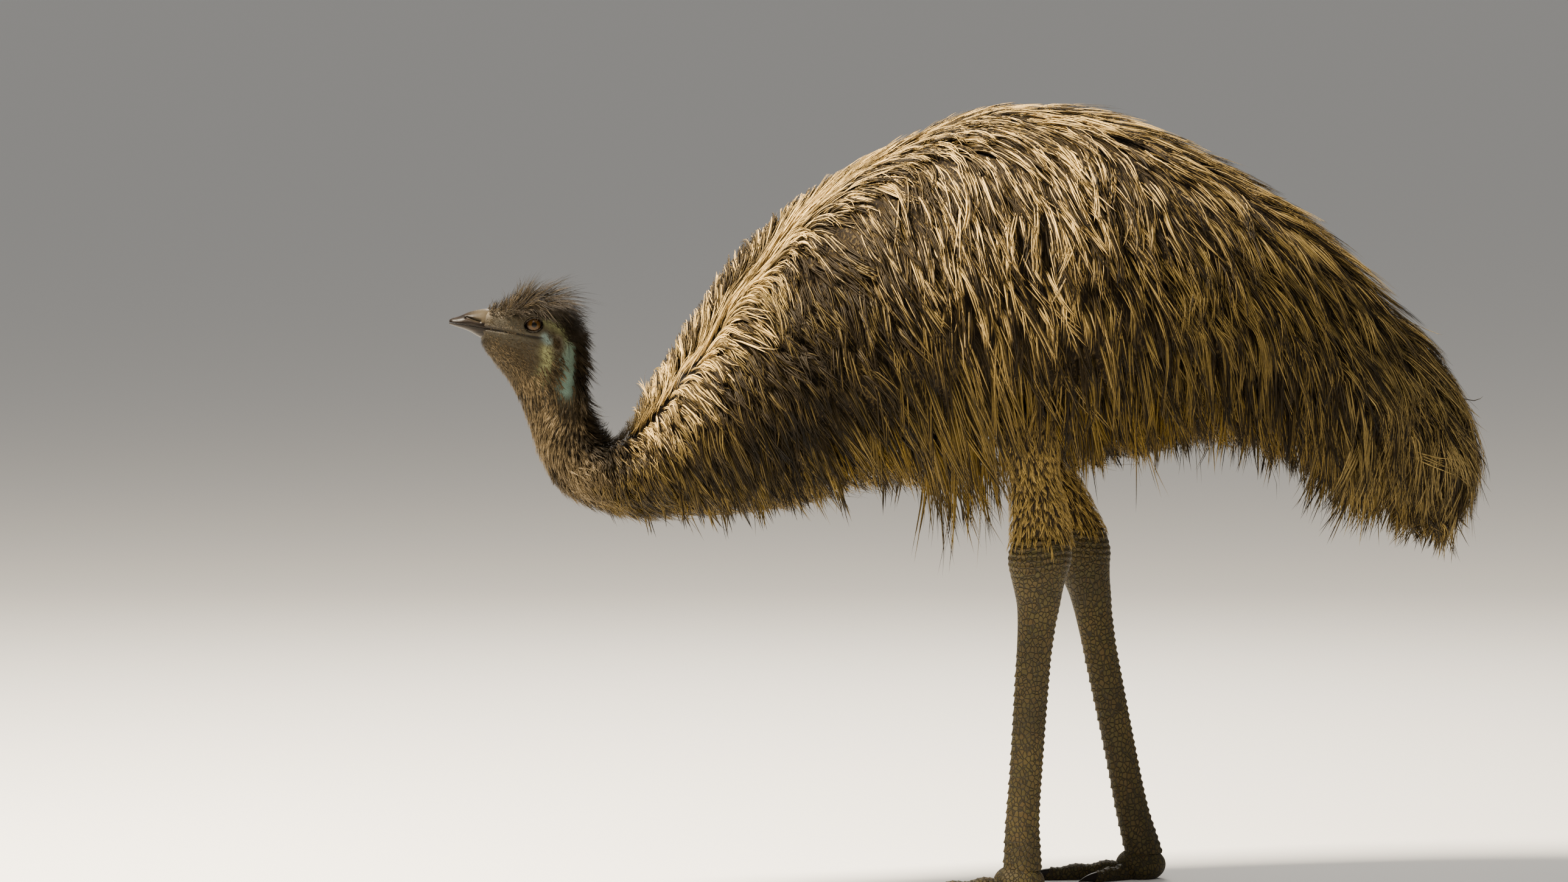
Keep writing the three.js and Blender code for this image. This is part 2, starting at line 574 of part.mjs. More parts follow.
// Plumage: rows of locks across the body, each set off by half a lock from the row before.
function plumageLocks(rows, hangs) {
  return rows.flatMap(({ u, count, from, to, length, width, thick }, row) =>
    [-1, 1].flatMap((side) =>
      Array.from({ length: count }, (_, i) => {
        const share = (i + (row % 2 ? 0.15 : 0.6)) / count;
        return {
          u: u + vary(0.12),
          turn: from + (to - from) * share + vary(0.03),
          side,
          length: length * (1 + vary(0.14)),
          width: (width / 2) * (1 + vary(0.12)),
          thick,
          lower: (i % 2) * 2 + random() * 1.5 - (i ? 0 : BACK_LIFT * (1 - smooth(17, 19, u))),
          swerve: vary(0.1),
          spare: random() * 22,
          hangs,
          flow: lieOfCoat,
          rise: (k, core) => (LOCK_RISE[k] ?? 0) * core + (k ? 0 : 4 + BACK_LIFT),
        };
      }),
    ),
  );
}

// Hair that stands off the skin: its tip rises height above it.
function hairLock(u, turn, side, length, width, height, slope) {
  const rise = [-3, 0.3, 0.62, 0.86, 1];
  return {
    u,
    turn,
    side,
    length,
    width,
    thick: width * 0.7,
    lower: 0,
    swerve: 0,
    spare: 0,
    hangs: false,
    flow: () => slope,
    rise: (k) => (k ? -height * rise[k] : 3),
  };
}

// Rows of the torso, the tail and the foot of the neck. from and to are turns.
const TORSO_ROWS = [
  { u: 12.5, count: 5, from: 0, to: 2.6, length: 130, width: 70, thick: 8 },
  { u: 13.3, count: 5, from: 0, to: 2.6, length: 145, width: 84, thick: 8 },
  { u: 14.3, count: 5, from: 0, to: 2.6, length: 165, width: 98, thick: 9 },
  { u: 15.2, count: 5, from: 0, to: 2.6, length: 185, width: 112, thick: 9 },
  { u: 16.1, count: 5, from: 0, to: 2.6, length: 200, width: 120, thick: 10 },
  { u: 16.9, count: 5, from: 0, to: 2.6, length: 205, width: 124, thick: 10 },
  { u: 17.5, count: 2, from: 1.4, to: 2.2, length: 190, width: 100, thick: 10 },
  { u: 17.8, count: 5, from: 0, to: 2.6, length: 205, width: 126, thick: 10 },
  { u: 18.7, count: 5, from: 0, to: 2.6, length: 205, width: 126, thick: 10 },
  { u: 19.5, count: 5, from: 0, to: 2.6, length: 200, width: 122, thick: 10 },
  { u: 20.3, count: 5, from: 0, to: 2.6, length: 195, width: 114, thick: 10 },
  { u: 21.1, count: 5, from: 0, to: 2.7, length: 185, width: 102, thick: 9 },
];
const TAIL_ROWS = [
  { u: 22.25, count: 5, from: 0, to: 2.9, length: 165, width: 84, thick: 9 },
  { u: 23.0, count: 4, from: 0, to: 2.9, length: 155, width: 78, thick: 9 },
  { u: 23.8, count: 3, from: 0, to: 2.7, length: 145, width: 70, thick: 8 },
];
const NECK_ROWS = [
  { u: 10.4, count: 4, from: 0.6, to: 3, length: 85, width: 44, thick: 6 },
  { u: 11.4, count: 4, from: 0, to: 2.9, length: 100, width: 60, thick: 7 },
];

// Hair of the nape, which stands off backwards in one ragged comb.
const NAPE = { count: 8, from: 5.35, to: 7.8, turn: 0.2, length: 52, width: 11, height: 20 };
const NAPE_PARTED = 7;

function napeLocks(from, to) {
  return steps(NAPE.from, NAPE.to, NAPE.count - 1)
    .filter((u) => u >= from && u < to)
    .flatMap((u) =>
      [-1, 1].map((side) => {
        const length = NAPE.length * (1 + vary(0.15));
        return hairLock(u, NAPE.turn, side, length, NAPE.width, NAPE.height, vary(0.15));
      }),
    );
}

// Hair of the crown: columns of locks from the forehead to the back of the head. The tallest
// stand over the eyes.
const CROWN_COLUMNS = [
  { turn: 0.16, from: 1.3, to: 4.7, count: 6, length: 32, height: 18 },
  { turn: 0.5, from: 3.4, to: 4.6, count: 2, length: 28, height: 9 },
];
const CROWN_WIDTH = 5;

function crownLocks() {
  return CROWN_COLUMNS.flatMap(({ turn, from, to, count, length, height }) =>
    steps(from, to, count - 1).flatMap((u, i) =>
      [-1, 1].map((side) => {
        const tall = 0.7 + 0.8 * Math.sin((Math.PI * (i + 0.5)) / count) * (1 + vary(0.3));
        return hairLock(u, turn + vary(0.05), side, length * tall, CROWN_WIDTH, height * tall, vary(0.2) - 0.1);
      }),
    ),
  );
}

// Body: a tube from the bill's base to the tail, parted by thin cuts where its parts are named.
// Each part then gets its own locks, and makes room for those of the part before it.
const FRONT_SPACING = [
  [0, 6, 12],
  [6, 12.6, 9],
];
const REAR_SPACING = [[11.4, 24.6, 13]];

// A node of the body: its core and its coat of locks, clear of the given solids. A lock may reach
// over the next node, which clears it, but stays out of the node before.
const dressed = (core, coat, clearOf) => largest(core.add(coat).subtract(join(clearOf)));
const coatOf = (locks) => join(locks.map((lock) => lockSolid(lock)));
const roomFor = (locks) => locks.map((lock) => lockSolid(lock, true));

function addBody() {
  const [front] = partAt(headDetails(bodyTube(24, FRONT_SPACING)), at("neck root"));
  const [, rear] = partAt(bodyTube(16, REAR_SPACING), at("neck root"));
  const [torsoCore, tailCore] = partAt(rear, at("tail root"));
  const [upper, neckLowerCore] = partAt(front, at("upper neck"));
  const [head, neckUpperCore] = partAt(upper, at("ear"));
  const torsoLocks = plumageLocks(TORSO_ROWS, true);
  const tailLocks = plumageLocks(TAIL_ROWS, true);
  const neckLocks = plumageLocks(NECK_ROWS, false);
  const legs = LEGS.map((leg) => drumstick(leg, GAP));
  const crown = crownLocks();
  const napeTop = napeLocks(0, NAPE_PARTED);
  const napeFoot = napeLocks(NAPE_PARTED, SLICES.length);
  const [, tailCoat] = partAt(coatOf(tailLocks), at("tail root"));
  const neckCoat = coatOf([...neckLocks, ...napeFoot]);
  const overTail = torsoLocks.filter((lock) => lock.u > at("loin"));
  addNode("head", dressed(head, coatOf(crown), []), SKIN);
  addNode("neck_upper", dressed(neckUpperCore, coatOf(napeTop), roomFor(crown)), HAIR);
  addNode("neck_lower", dressed(neckLowerCore, neckCoat, roomFor(napeTop)), HAIR);
  addNode("torso", dressed(torsoCore, coatOf(torsoLocks), [...legs, ...roomFor(neckLocks)]), PLUMAGE);
  addNode("tail", dressed(tailCore, tailCoat, roomFor(overTail)), PLUMAGE);
}

addBody();
addBill();
addEyes();
addLegs();

// The origin goes to the bottom centre of the bird's box.
const box = new THREE.Box3().setFromObject(emu);
const middle = box.getCenter(new THREE.Vector3());
emu.position.set(-middle.x, -middle.y, -box.min.z);

export default emu;
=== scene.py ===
"""A life-size emu with an arched shaggy back, its neck lowered and its head raised."""

import math
from functools import partial, partialmethod

import bpy
import numpy as np
from mathutils import Matrix, Vector


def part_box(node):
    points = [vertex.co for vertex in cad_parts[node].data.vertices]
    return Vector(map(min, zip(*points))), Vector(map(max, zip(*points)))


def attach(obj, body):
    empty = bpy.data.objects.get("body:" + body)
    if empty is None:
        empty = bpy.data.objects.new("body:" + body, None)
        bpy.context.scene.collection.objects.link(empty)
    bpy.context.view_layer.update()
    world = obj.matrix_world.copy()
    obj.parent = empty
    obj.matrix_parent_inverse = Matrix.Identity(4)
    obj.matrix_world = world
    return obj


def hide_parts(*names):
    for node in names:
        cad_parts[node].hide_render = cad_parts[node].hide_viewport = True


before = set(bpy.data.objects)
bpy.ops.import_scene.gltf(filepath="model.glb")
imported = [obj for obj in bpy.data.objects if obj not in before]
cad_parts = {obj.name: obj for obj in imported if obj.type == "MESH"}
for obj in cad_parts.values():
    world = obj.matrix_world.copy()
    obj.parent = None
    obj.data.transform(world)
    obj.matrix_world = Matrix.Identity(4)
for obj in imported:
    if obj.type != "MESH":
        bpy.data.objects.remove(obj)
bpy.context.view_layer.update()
bpy.ops.object.select_all(action="DESELECT")

# The bird's place in the frame. The body's sizes are in millimetres from a point of their own,
# which the left eye ties to the frame.
MM = 0.001
EYE = np.array([-671.0, 18.6, 754.0])
eye_box = [np.array(corner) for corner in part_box("eye_left")]
shift = (eye_box[0] + eye_box[1]) / 2 - EYE * [1, -1, 1] * MM
SHIFT_X, _, SHIFT_Z = (float(v) for v in shift)


def placed(points):
    """Millimetres of the body's own measure as metres of the frame."""
    return np.asarray(points) * MM + shift


# The camera stands level with the body, a little in front of square to its side, far off and
# with a long lens.
PHOTO_WIDTH = 2576
LENS = 200
SENSOR = 36
MM_PER_PIXEL = 0.8
AIM = [-335, 0, 597]
azimuth, elevation = math.radians(-10), math.radians(3.5)
level = math.cos(elevation)
back = Vector((math.sin(azimuth) * level, -math.cos(azimuth) * level, math.sin(elevation)))
right = Vector((math.cos(azimuth), math.sin(azimuth), 0))
lens_data = bpy.data.cameras.new("camera")
lens_data.lens = LENS
lens_data.sensor_width = SENSOR
lens_data.clip_end = 1000
camera = bpy.data.objects.new("camera", lens_data)
bpy.context.collection.objects.link(camera)
distance = PHOTO_WIDTH * MM_PER_PIXEL * MM * LENS / SENSOR
turned = Matrix((right, back.cross(right), back)).transposed().to_4x4()
camera.matrix_world = Matrix.Translation(Vector(placed(AIM)) + back * distance) @ turned
bpy.context.scene.camera = camera

# Floor and light: one plain pale floor, a broad lamp high at the left for the sun's side, a weak
# one from the camera's side, and a pale surrounding.
bpy.ops.mesh.primitive_plane_add(size=600)
floor = bpy.context.object
floor.name = "floor"
floor_paint = bpy.data.materials.new("pale floor")
floor_paint.use_nodes = True
floor_shader = floor_paint.node_tree.nodes["Principled BSDF"]
floor_shader.inputs["Base Color"].default_value = (0.78, 0.77, 0.75, 1)
floor_shader.inputs["Roughness"].default_value = 0.9
floor.data.materials.append(floor_paint)

# Each lamp's name, place, size, power and colour.
LAMP_AIM = (0, 0, 0.7)
LAMPS = [
    ("sun side", (-2.2, -0.3, 3.8), 1.0, 1240, (1, 0.87, 0.68)),
    ("camera side", (-0.4, -2.9, 3.0), 1.3, 34, (1, 0.95, 0.87)),
    ("far side", (0.6, 3.2, 2.8), 1.6, 110, (1, 0.93, 0.82)),
]
for name, place, size, power, colour in LAMPS:
    lamp = bpy.data.lights.new(name, "AREA")
    lamp.size = size
    lamp.energy = power
    lamp.color = colour
    holder = bpy.data.objects.new(name, lamp)
    bpy.context.collection.objects.link(holder)
    holder.location = place
    holder.rotation_euler = (Vector(LAMP_AIM) - Vector(place)).to_track_quat("-Z", "Y").to_euler()
world = bpy.data.worlds.new("pale surrounding")
world.use_nodes = True
surrounding = world.node_tree.nodes["Background"]
surrounding.inputs["Color"].default_value = (1, 0.985, 0.96, 1)
surrounding.inputs["Strength"].default_value = 0.33
bpy.context.scene.world = world

# Body form. Slices from the bill's base to the tail's end, which fan round the neck's bends: the
# dorsal point (x, z), the ventral point (x, z), half the width, the coat's depth from its tips to
# the skin, and how far below its middle the slice is widest.
SLICES = np.array(
    [
        (-731, 773, -738, 737, 19, 0, -0.1), (-706, 777, -732, 721, 24.5, 0, -0.22),
        (-682, 781, -723, 708, 29.5, 0, -0.28), (-652, 783, -715, 698, 31, 0, -0.26),
        (-626, 770, -707, 689, 30, 0, -0.16), (-612, 742, -699, 679, 28.5, 0, -0.05),
        (-607, 697, -689, 663, 28.5, 0, 0), (-602, 652, -679, 640, 30, 0, 0),
        (-592, 622, -668, 604, 33, 8, 0), (-579, 607, -653, 566, 38, 16, 0),
        (-563, 605, -628, 532, 46, 26, 0.05), (-545, 618, -588, 510, 57, 34, 0.08),
        (-526, 650, -536, 499, 74, 42, 0.1), (-502, 700, -486, 497, 100, 46, 0.12),
        (-455, 772, -411, 497, 130, 50, 0.15), (-390, 858, -333, 502, 158, 54, 0.16),
        (-308, 920, -251, 522, 182, 56, 0.16), (-203, 982, -162, 533, 204, 58, 0.16),
        (-50, 1040, -40, 541, 220, 60, 0.16), (104, 1029, 89, 552, 221, 62, 0.15),
        (240, 972, 219, 580, 206, 64, 0.13), (376, 886, 316, 566, 180, 66, 0.1),
        (477, 792, 372, 520, 150, 66, 0.06), (556, 700, 432, 484, 118, 60, 0.04),
        (600, 612, 492, 458, 88, 50, 0), (612, 530, 548, 440, 52, 34, 0),
    ]
)
LAST = len(SLICES) - 1
UPPER_NECK, NECK_ROOT, SHOULDER, TAIL_ROOT = 7, 12, 15, 22


def curve(table, place):
    """The rows of a table at places between them, on a smooth curve through them all."""
    i = np.clip(np.floor(place).astype(int), 0, len(table) - 2)
    t = (place - i)[..., None]
    a, b, c, d = (table[np.clip(i + k, 0, len(table) - 1)] for k in (-1, 0, 1, 2))
    bend = (2 * a - 5 * b + 4 * c - d) * t + (3 * b - a - 3 * c + d) * t * t
    return 0.5 * (2 * b + (c - a) * t + bend * t)


def outline(u, turn):
    """Points of the outline. u is the place along SLICES, and turn is 0 on the back, grows to pi
    on the belly on the right side, and falls to -pi on the left."""
    u, turn = np.broadcast_arrays(np.asarray(u, float), np.asarray(turn, float))
    top_x, top_z, low_x, low_z, half, _, low = np.moveaxis(curve(SLICES, u), -1, 0)
    c = np.cos(turn)
    x = (top_x + low_x) / 2 + (top_x - low_x) / 2 * c
    z = (top_z + low_z) / 2 + (top_z - low_z) / 2 * c
    return np.stack([x, half * np.sin(turn) * (1 - low * c), z], axis=-1)


def unit(v):
    return v / np.maximum(np.linalg.norm(v, axis=-1, keepdims=True), 1e-9)


def dot(a, b):
    return (a * b).sum(axis=-1)


def directions(u, turn):
    """The outline's directions at a point, tailwards and round its slice, and its normal."""
    step = 0.02
    before, after = np.clip(u - step, 0, LAST), np.clip(u + step, 0, LAST)
    tailward = (outline(after, turn) - outline(before, turn)) / (after - before)[..., None]
    round_it = (outline(u, turn + step) - outline(u, turn - step)) / (2 * step)
    return tailward, round_it, unit(np.cross(tailward, round_it))


def smooth(start, end, value):
    t = np.clip((value - start) / (end - start), 0, 1)
    return t * t * (3 - 2 * t)


def bump(value, centre, width):
    return np.exp(-(((value - centre) / width) ** 2))


def ripple(points, size, seed):
    """A smooth field between about -1 and 1, whose waves are about size millimetres."""
    waves = np.random.default_rng(seed)
    pull = waves.normal(size=(7, 3)) * (2 * math.pi / size / 1.7)
    phase = waves.uniform(0, 2 * math.pi, 7)
    return np.sin(points @ pull.T + phase).sum(axis=-1) / 2.6


def coat_depth(u):
    return curve(SLICES, u)[..., 5]


def skin_depth(u, turn):
    """How far the body lies under the feather tips. It is deeper on the belly, where the outline
    is that of the hanging fringe, and shallower on the back."""
    side = np.abs(turn)
    hanging = 1.3 * smooth(1.7, 2.7, side) * smooth(13, SHOULDER, u)
    shallow = 0.6 * (1 - smooth(0.8, 1.5, side)) * smooth(11, 12.5, u) * (1 - smooth(21, 23, u))
    return 0.5 * coat_depth(u) * (1 + hanging - shallow)


# Skin: one closed surface from the bill's base to the tail, thin and bare on the face and hidden
# by the coat elsewhere. It starts as a grid that is wrapped round the body, closer on the head,
# and sinks or swells where the head has its lids, ears, lores and gape.

# Stretches of the grid: the slices where each starts and ends, and its rings.
SKIN_STATIONS = [(0, 7.2, 190), (7.2, 12, 50), (12, LAST, 56)]
SKIN_SIDES = 168
UNDER_HAIR = 0.8
LID_OPENING = (12.6, 9.6)
SOCKET = 19.0
EAR = (-640.0, 731.0)
MOUTH_SLOPE = 0.17
BILL_TIP = (-779, 757)
GAPE = -662.0


def mouth_height(x):
    return BILL_TIP[1] - MOUTH_SLOPE * (x - BILL_TIP[0])


# The brow, the lores, the hollow under the eye, the cheek and the bag under the lid: how far each
# swells, its x and z from the eye with its reaches, and its slope.
FACE_FORMS = [
    (2.4, 2, 17, 13, 4.5, 0.1), (-2.0, -27, 15, -1, 8, 0), (-1.0, -6, 18, -15, 6, 0),
    (1.6, 16, 16, -29, 12, 0), (0.8, 0, 15, -11.5, 3, 0),
]


def head_relief(p, normal, on_side):
    """Moves points of the head's outline out along their normals by so many millimetres."""
    dx, dz = p[..., 0] - EYE[0], p[..., 2] - EYE[2]
    out = np.zeros_like(dx)
    for swell, x, x_reach, z, z_reach, slope in FACE_FORMS:
        out += swell * bump(dx, x, x_reach) * bump(dz, z + slope * dx, z_reach)
    mouth = p[..., 2] - mouth_height(p[..., 0])
    lips = 0.9 * bump(mouth, 3.4, 2.4) + 1.3 * bump(mouth, -3.6, 2.6) - 2.2 * bump(mouth, 0, 1.3)
    out += (1 - smooth(GAPE - 6, GAPE + 6, p[..., 0])) * lips
    ear_x, ear_z = p[..., 0] - EAR[0], p[..., 2] - EAR[1]
    ear = np.hypot(ear_x / 5.5, ear_z / 8)
    out += 1.0 * bump(ear, 1.25, 0.4) - 3.5 * bump(ear, 0, 0.75)
    return p + normal * (out * on_side)[..., None]


def eye_socket(p):
    """Sinks the skin inside the lids' opening behind the eyeball."""
    dx, dz = p[..., 0] - EYE[0], p[..., 2] - EYE[2]
    ring = np.hypot(dx / LID_OPENING[0], dz / LID_OPENING[1])
    inside = (1 - smooth(0.92, 1.04, ring)) * (np.abs(p[..., 1]) > 12)
    p = p.copy()
    p[..., 1] += (np.sign(p[..., 1]) * SOCKET - p[..., 1]) * inside
    return p


def body_station(share):
    """The place on the body at each share of the way along the skin's grid."""
    marks = np.concatenate([np.linspace(a, b, n, endpoint=False) for a, b, n in SKIN_STATIONS] + [[LAST]])
    return np.interp(share * (len(marks) - 1), np.arange(len(marks)), marks)


def skin_point(share, turn):
    u = body_station(share)
    _, _, normal = directions(u, turn)
    point = outline(u, turn) - normal * (skin_depth(u, turn) + UNDER_HAIR)[:, None]
    on_side = smooth(0.25, 0.7, np.abs(turn)) * (1 - smooth(2.5, 2.9, np.abs(turn)))
    return eye_socket(head_relief(point, normal, on_side * (1 - smooth(6, 7, u))))


# Colours of the bare skin: dull brown on the face, and greenish to turquoise bands behind the ear
# and down the neck's side, with a pale band over the bill's base that is a painted highlight and a
# bluish spot by the ear that is partly the skin's blue, partly a painted highlight. Each band is a
# line seen from the side, its reach and its colour.
SKIN_BROWN = np.array([0.023, 0.0172, 0.0078])
# Skin under the coat and under the thighs' feathers: near black, as painted shade deep in the plumage.
HIDDEN_SKIN_SHADE = np.array([0.009, 0.006, 0.003])
SKIN_BANDS = [
    ([(-651, 761), (-637, 752), (-627, 739), (-622, 722)], 8, (0.15, 0.16, 0.075)),
    ([(-622, 722), (-625, 700), (-628, 668)], 12, (0.075, 0.12, 0.1)),
    ([(-654, 720), (-653, 702), (-661, 682)], 8, (0.13, 0.135, 0.06)),
    # Bluish spot by the ear: partly the skin's own blue and partly a painted highlight.
    ([(-657, 738), (-652, 732)], 5, (0.09, 0.13, 0.125)),
    ([(-715, 757), (-697, 754), (-684, 745)], 9, (0.028, 0.024, 0.015)),
    # Painted highlight: a pale band on the top of the lores just behind the bill.
    ([(-733, 770), (-720, 768), (-708, 770)], 5, (0.07, 0.056, 0.034)),
    ([(-732, 750), (-722, 747), (-712, 745)], 4.5, (0.012, 0.01, 0.009)),
    ([(-722, 741), (-700, 738), (-672, 731)], 7, (0.026, 0.022, 0.013)),
    ([(-638, 734), (-637, 724)], 8, (0.035, 0.027, 0.016)),
    ([(-690, 768), (-674, 772), (-655, 764)], 5, (0.022, 0.018, 0.013)),
]


def near_line(x, z, line):
    """The distance of each point to a line of corners, seen from the side."""
    gaps = []
    for (x0, z0), (x1, z1) in zip(line, line[1:]):
        dx, dz = x1 - x0, z1 - z0
        t = np.clip(((x - x0) * dx + (z - z0) * dz) / (dx * dx + dz * dz), 0, 1)
        gaps.append(np.hypot(x - x0 - t * dx, z - z0 - t * dz))
    return np.min(gaps, axis=0)


def skin_colour(p):
    colours = np.tile(SKIN_BROWN, (len(p), 1))
    for line, reach, colour in SKIN_BANDS:
        amount = np.exp(-((near_line(p[:, 0], p[:, 2], line) / reach) ** 2))[:, None]
        colours += (np.array(colour) - colours) * amount
    # The face keeps its colours above the coat's edge; under the coat the skin is painted shade.
    below = smooth(600, 660, p[:, 2])[:, None] * (p[:, 0] < -560)[:, None]
    return colours * below + HIDDEN_SKIN_SHADE * (1 - below)


# Painted shade for skin hidden under feathers.
def hidden_shade_colour(p):
    return np.tile(HIDDEN_SKIN_SHADE, (len(p), 1))


def paint_vertices(obj, colours):
    """Stores a colour for each vertex, as an attribute that the material reads."""
    layer = obj.data.color_attributes.new(name="tone", type="FLOAT_COLOR", domain="POINT")
    rgba = np.ones((len(colours), 4))
    rgba[:, :3] = colours
    layer.data.foreach_set("color", rgba.ravel())


def wrapped(name, lengthways, sides, place, colour=None):
    """A grid wrapped round into a closed tube. place(share, angle) gives its points in
    millimetres, and colour(points) their colours."""
    bpy.ops.mesh.primitive_grid_add(x_subdivisions=lengthways, y_subdivisions=sides, size=2)
    obj = bpy.context.object
    obj.name = name
    grid = np.empty(len(obj.data.vertices) * 3)
    obj.data.vertices.foreach_get("co", grid)
    grid = grid.reshape(-1, 3)
    points = place((grid[:, 0] + 1) / 2, grid[:, 1] * math.pi)
    obj.data.vertices.foreach_set("co", placed(points).ravel())
    if colour:
        paint_vertices(obj, colour(points))
    bpy.ops.object.mode_set(mode="EDIT")
    bpy.ops.mesh.select_all(action="SELECT")
    bpy.ops.mesh.remove_doubles(threshold=0.00001)
    bpy.ops.mesh.select_all(action="DESELECT")
    bpy.ops.mesh.select_non_manifold()
    bpy.ops.mesh.fill_holes(sides=0)
    bpy.ops.mesh.select_all(action="SELECT")
    bpy.ops.mesh.normals_make_consistent(inside=False)
    bpy.ops.object.mode_set(mode="OBJECT")
    bpy.ops.object.shade_smooth()
    return obj


skin = wrapped("skin", sum(n for _, _, n in SKIN_STATIONS), SKIN_SIDES, skin_point, skin_colour)


class Paint:
    """A socket in a material's tree. Arithmetic on it adds Math nodes."""

    def __init__(self, tree, socket=None):
        self.tree = tree
        self.socket = socket

    def add(self, kind, sockets=(), settings=(), out=0):
        """A further node: its type, the values or links of its sockets, and its settings."""
        node = self.tree.nodes.new("ShaderNode" + kind)
        for key, value in dict(settings).items():
            setattr(node, key, value)
        for key, value in dict(sockets).items():
            if isinstance(value, Paint):
                self.tree.links.new(value.socket, node.inputs[key])
            else:
                node.inputs[key].default_value = value
        return Paint(self.tree, node.outputs[out])

    def math(self, operation, *values):
        return self.add("Math", dict(enumerate((self, *values))), {"operation": operation})

    __add__ = __radd__ = partialmethod(math, "ADD")
    __sub__ = partialmethod(math, "SUBTRACT")
    __mul__ = __rmul__ = partialmethod(math, "MULTIPLY")
    __pow__ = partialmethod(math, "POWER")

    def __rsub__(self, other):
        return self.add("Math", {0: other, 1: self}, {"operation": "SUBTRACT"})

    def fade(self, start, end):
        """0 at start, 1 at end, with smooth ends."""
        ends = {"Value": self, "From Min": start, "From Max": end}
        return self.add("MapRange", ends, {"interpolation_type": "SMOOTHSTEP"})

    def mixed(self, other, amount, blend="MIX"):
        """This colour with an amount of another one."""
        kind = {"data_type": "RGBA", "blend_type": blend}
        return self.add("Mix", {0: amount, 6: self, 7: other}, kind, out=2)

    def ramp(self, *stops):
        """Two colours, each from its own place on, and the shades between."""
        shades = self.add("ValToRGB", {0: self})
        for element, (place, colour) in zip(shades.socket.node.color_ramp.elements, stops):
            element.position = place
            element.color = (*colour, 1)
        return shades

    def noise(self, scale, detail, **more):
        """Noise at this place."""
        return self.add("TexNoise", {"Vector": self, "Scale": scale, "Detail": detail, **more})

    def across(self):
        """The x and the z of this place."""
        split = self.add("SeparateXYZ", {0: self})
        return split, Paint(self.tree, split.socket.node.outputs[2])


def finish(name, roughness, recipe, **constants):
    """A material. recipe(paint) returns its base colour, roughness and bump height, the last two
    may be None. The other sockets keep one value."""
    material = bpy.data.materials.new(name)
    material.use_nodes = True
    tree = material.node_tree
    shader = tree.nodes["Principled BSDF"]
    shader.inputs["Roughness"].default_value = roughness
    for key, value in constants.items():
        shader.inputs[key.replace("_", " ")].default_value = value
    colour, rough, height = recipe(Paint(tree))
    tree.links.new(colour.socket, shader.inputs["Base Color"])
    if rough is not None:
        tree.links.new(rough.socket, shader.inputs["Roughness"])
    if height is not None:
        relief = Paint(tree).add("Bump", {"Height": height, "Strength": 1.0, "Distance": MM})
        tree.links.new(relief.socket, shader.inputs["Normal"])
    return material


def over_mouth(x, z):
    """How far a point of the frame lies above the line of the mouth, in metres."""
    return z + MOUTH_SLOPE * x - (mouth_height(0) * MM + SHIFT_Z + MOUTH_SLOPE * SHIFT_X)


def skin_recipe(paint):
    place = paint.add("TexCoord", out=3)
    x, z = place.across()
    pores = paint.add("TexVoronoi", {"Vector": place, "Scale": 520.0})
    creases = place.noise(160.0, 5.0)
    blotches = place.noise(45.0, 3.0)
    tone = paint.add("Attribute", settings={"attribute_name": "tone"})
    lip = over_mouth(x, z)
    gape = 0.75 - lip.math("ABSOLUTE").fade(0.0003, 0.0014) * 0.75
    gape = gape * (1 - x.fade((GAPE - 3) * MM + SHIFT_X, (GAPE + 5) * MM + SHIFT_X))
    under = x.fade(-0.48 + SHIFT_X, -0.44 + SHIFT_X)
    streaks = paint.add("Mapping", {"Vector": place, "Rotation": (0, 0.4, 0), "Scale": (1, 1, 0.08)})
    down = streaks.noise(330.0, 3.0)
    colour = tone.mixed((0.03, 0.028, 0.026, 1), pores.fade(0.25, 0.05) * 0.3 * (1 - under))
    colour = colour.mixed((0.012, 0.009, 0.006, 1), blotches.fade(0.45, 0.7) * 0.35)
    # Streaks of down on the skin under the coat, coloured as strands in shade: real undercoat in painted
    # shade.
    colour = colour.mixed((0.06, 0.042, 0.016, 1), down.fade(0.5, 0.62) * under * 0.8)
    colour = colour.mixed((0.012, 0.011, 0.011, 1), gape)
    return colour, 0.55 + creases * 0.25 + under * 0.3, pores * 0.35 + creases * 0.5 + down * under * 2.0


skin.data.materials.append(finish("face skin", 0.6, skin_recipe, Specular_IOR_Level=0.18))

# Legs: long scaled shanks under feathered drumsticks, joined to the body's skin. A column of broad
# scutes laps down the front of each shank and over the toes, and small ones edge its back. Three
# toes spread forwards, flat underneath.

# Each leg's side, and the x, z and y of its hip, hock and foot.
LEGS = [
    (-1, (-30, 640, 116), (-6, 436, 94), (-37, 34, 88)),
    (1, (10, 640, 116), (90, 436, 94), (165, 34, 88)),
]
DRUMSTICK = np.array(
    [(0, 56, 44, 0), (0.25, 44, 38, -4), (0.5, 37, 32, -3), (0.75, 40, 31, 0), (1, 43, 28, 0)]
)
SHANK = np.array(
    [
        (0, 38, 25, 0), (0.035, 42, 27.5, 0), (0.07, 42, 28.5, 0),
        (0.11, 37.5, 27, 0), (0.155, 32.5, 24, 1), (0.2, 28.5, 21, 2),
        (0.26, 25, 18, 1), (0.36, 22.5, 16.5, 0), (0.7, 21, 16, 0),
        (0.86, 22, 18, 0), (1, 25, 23, 4),
    ]
)
HOCK_TOP = 34
SHANK_SCUTES = 26
SHANK_KNOBS = 48
# Each toe's spread from straight on, length, half width and number of scutes.
TOES = [(0, 128, 15, 15), (-0.5, 78, 13, 9), (0.52, 74, 12.5, 9)]
TOE_START = 4.8
TOE_TAPER = 0.4
OFF_FLOOR = 0.3
SCALE_BROWN = np.array([0.03, 0.0215, 0.0045])


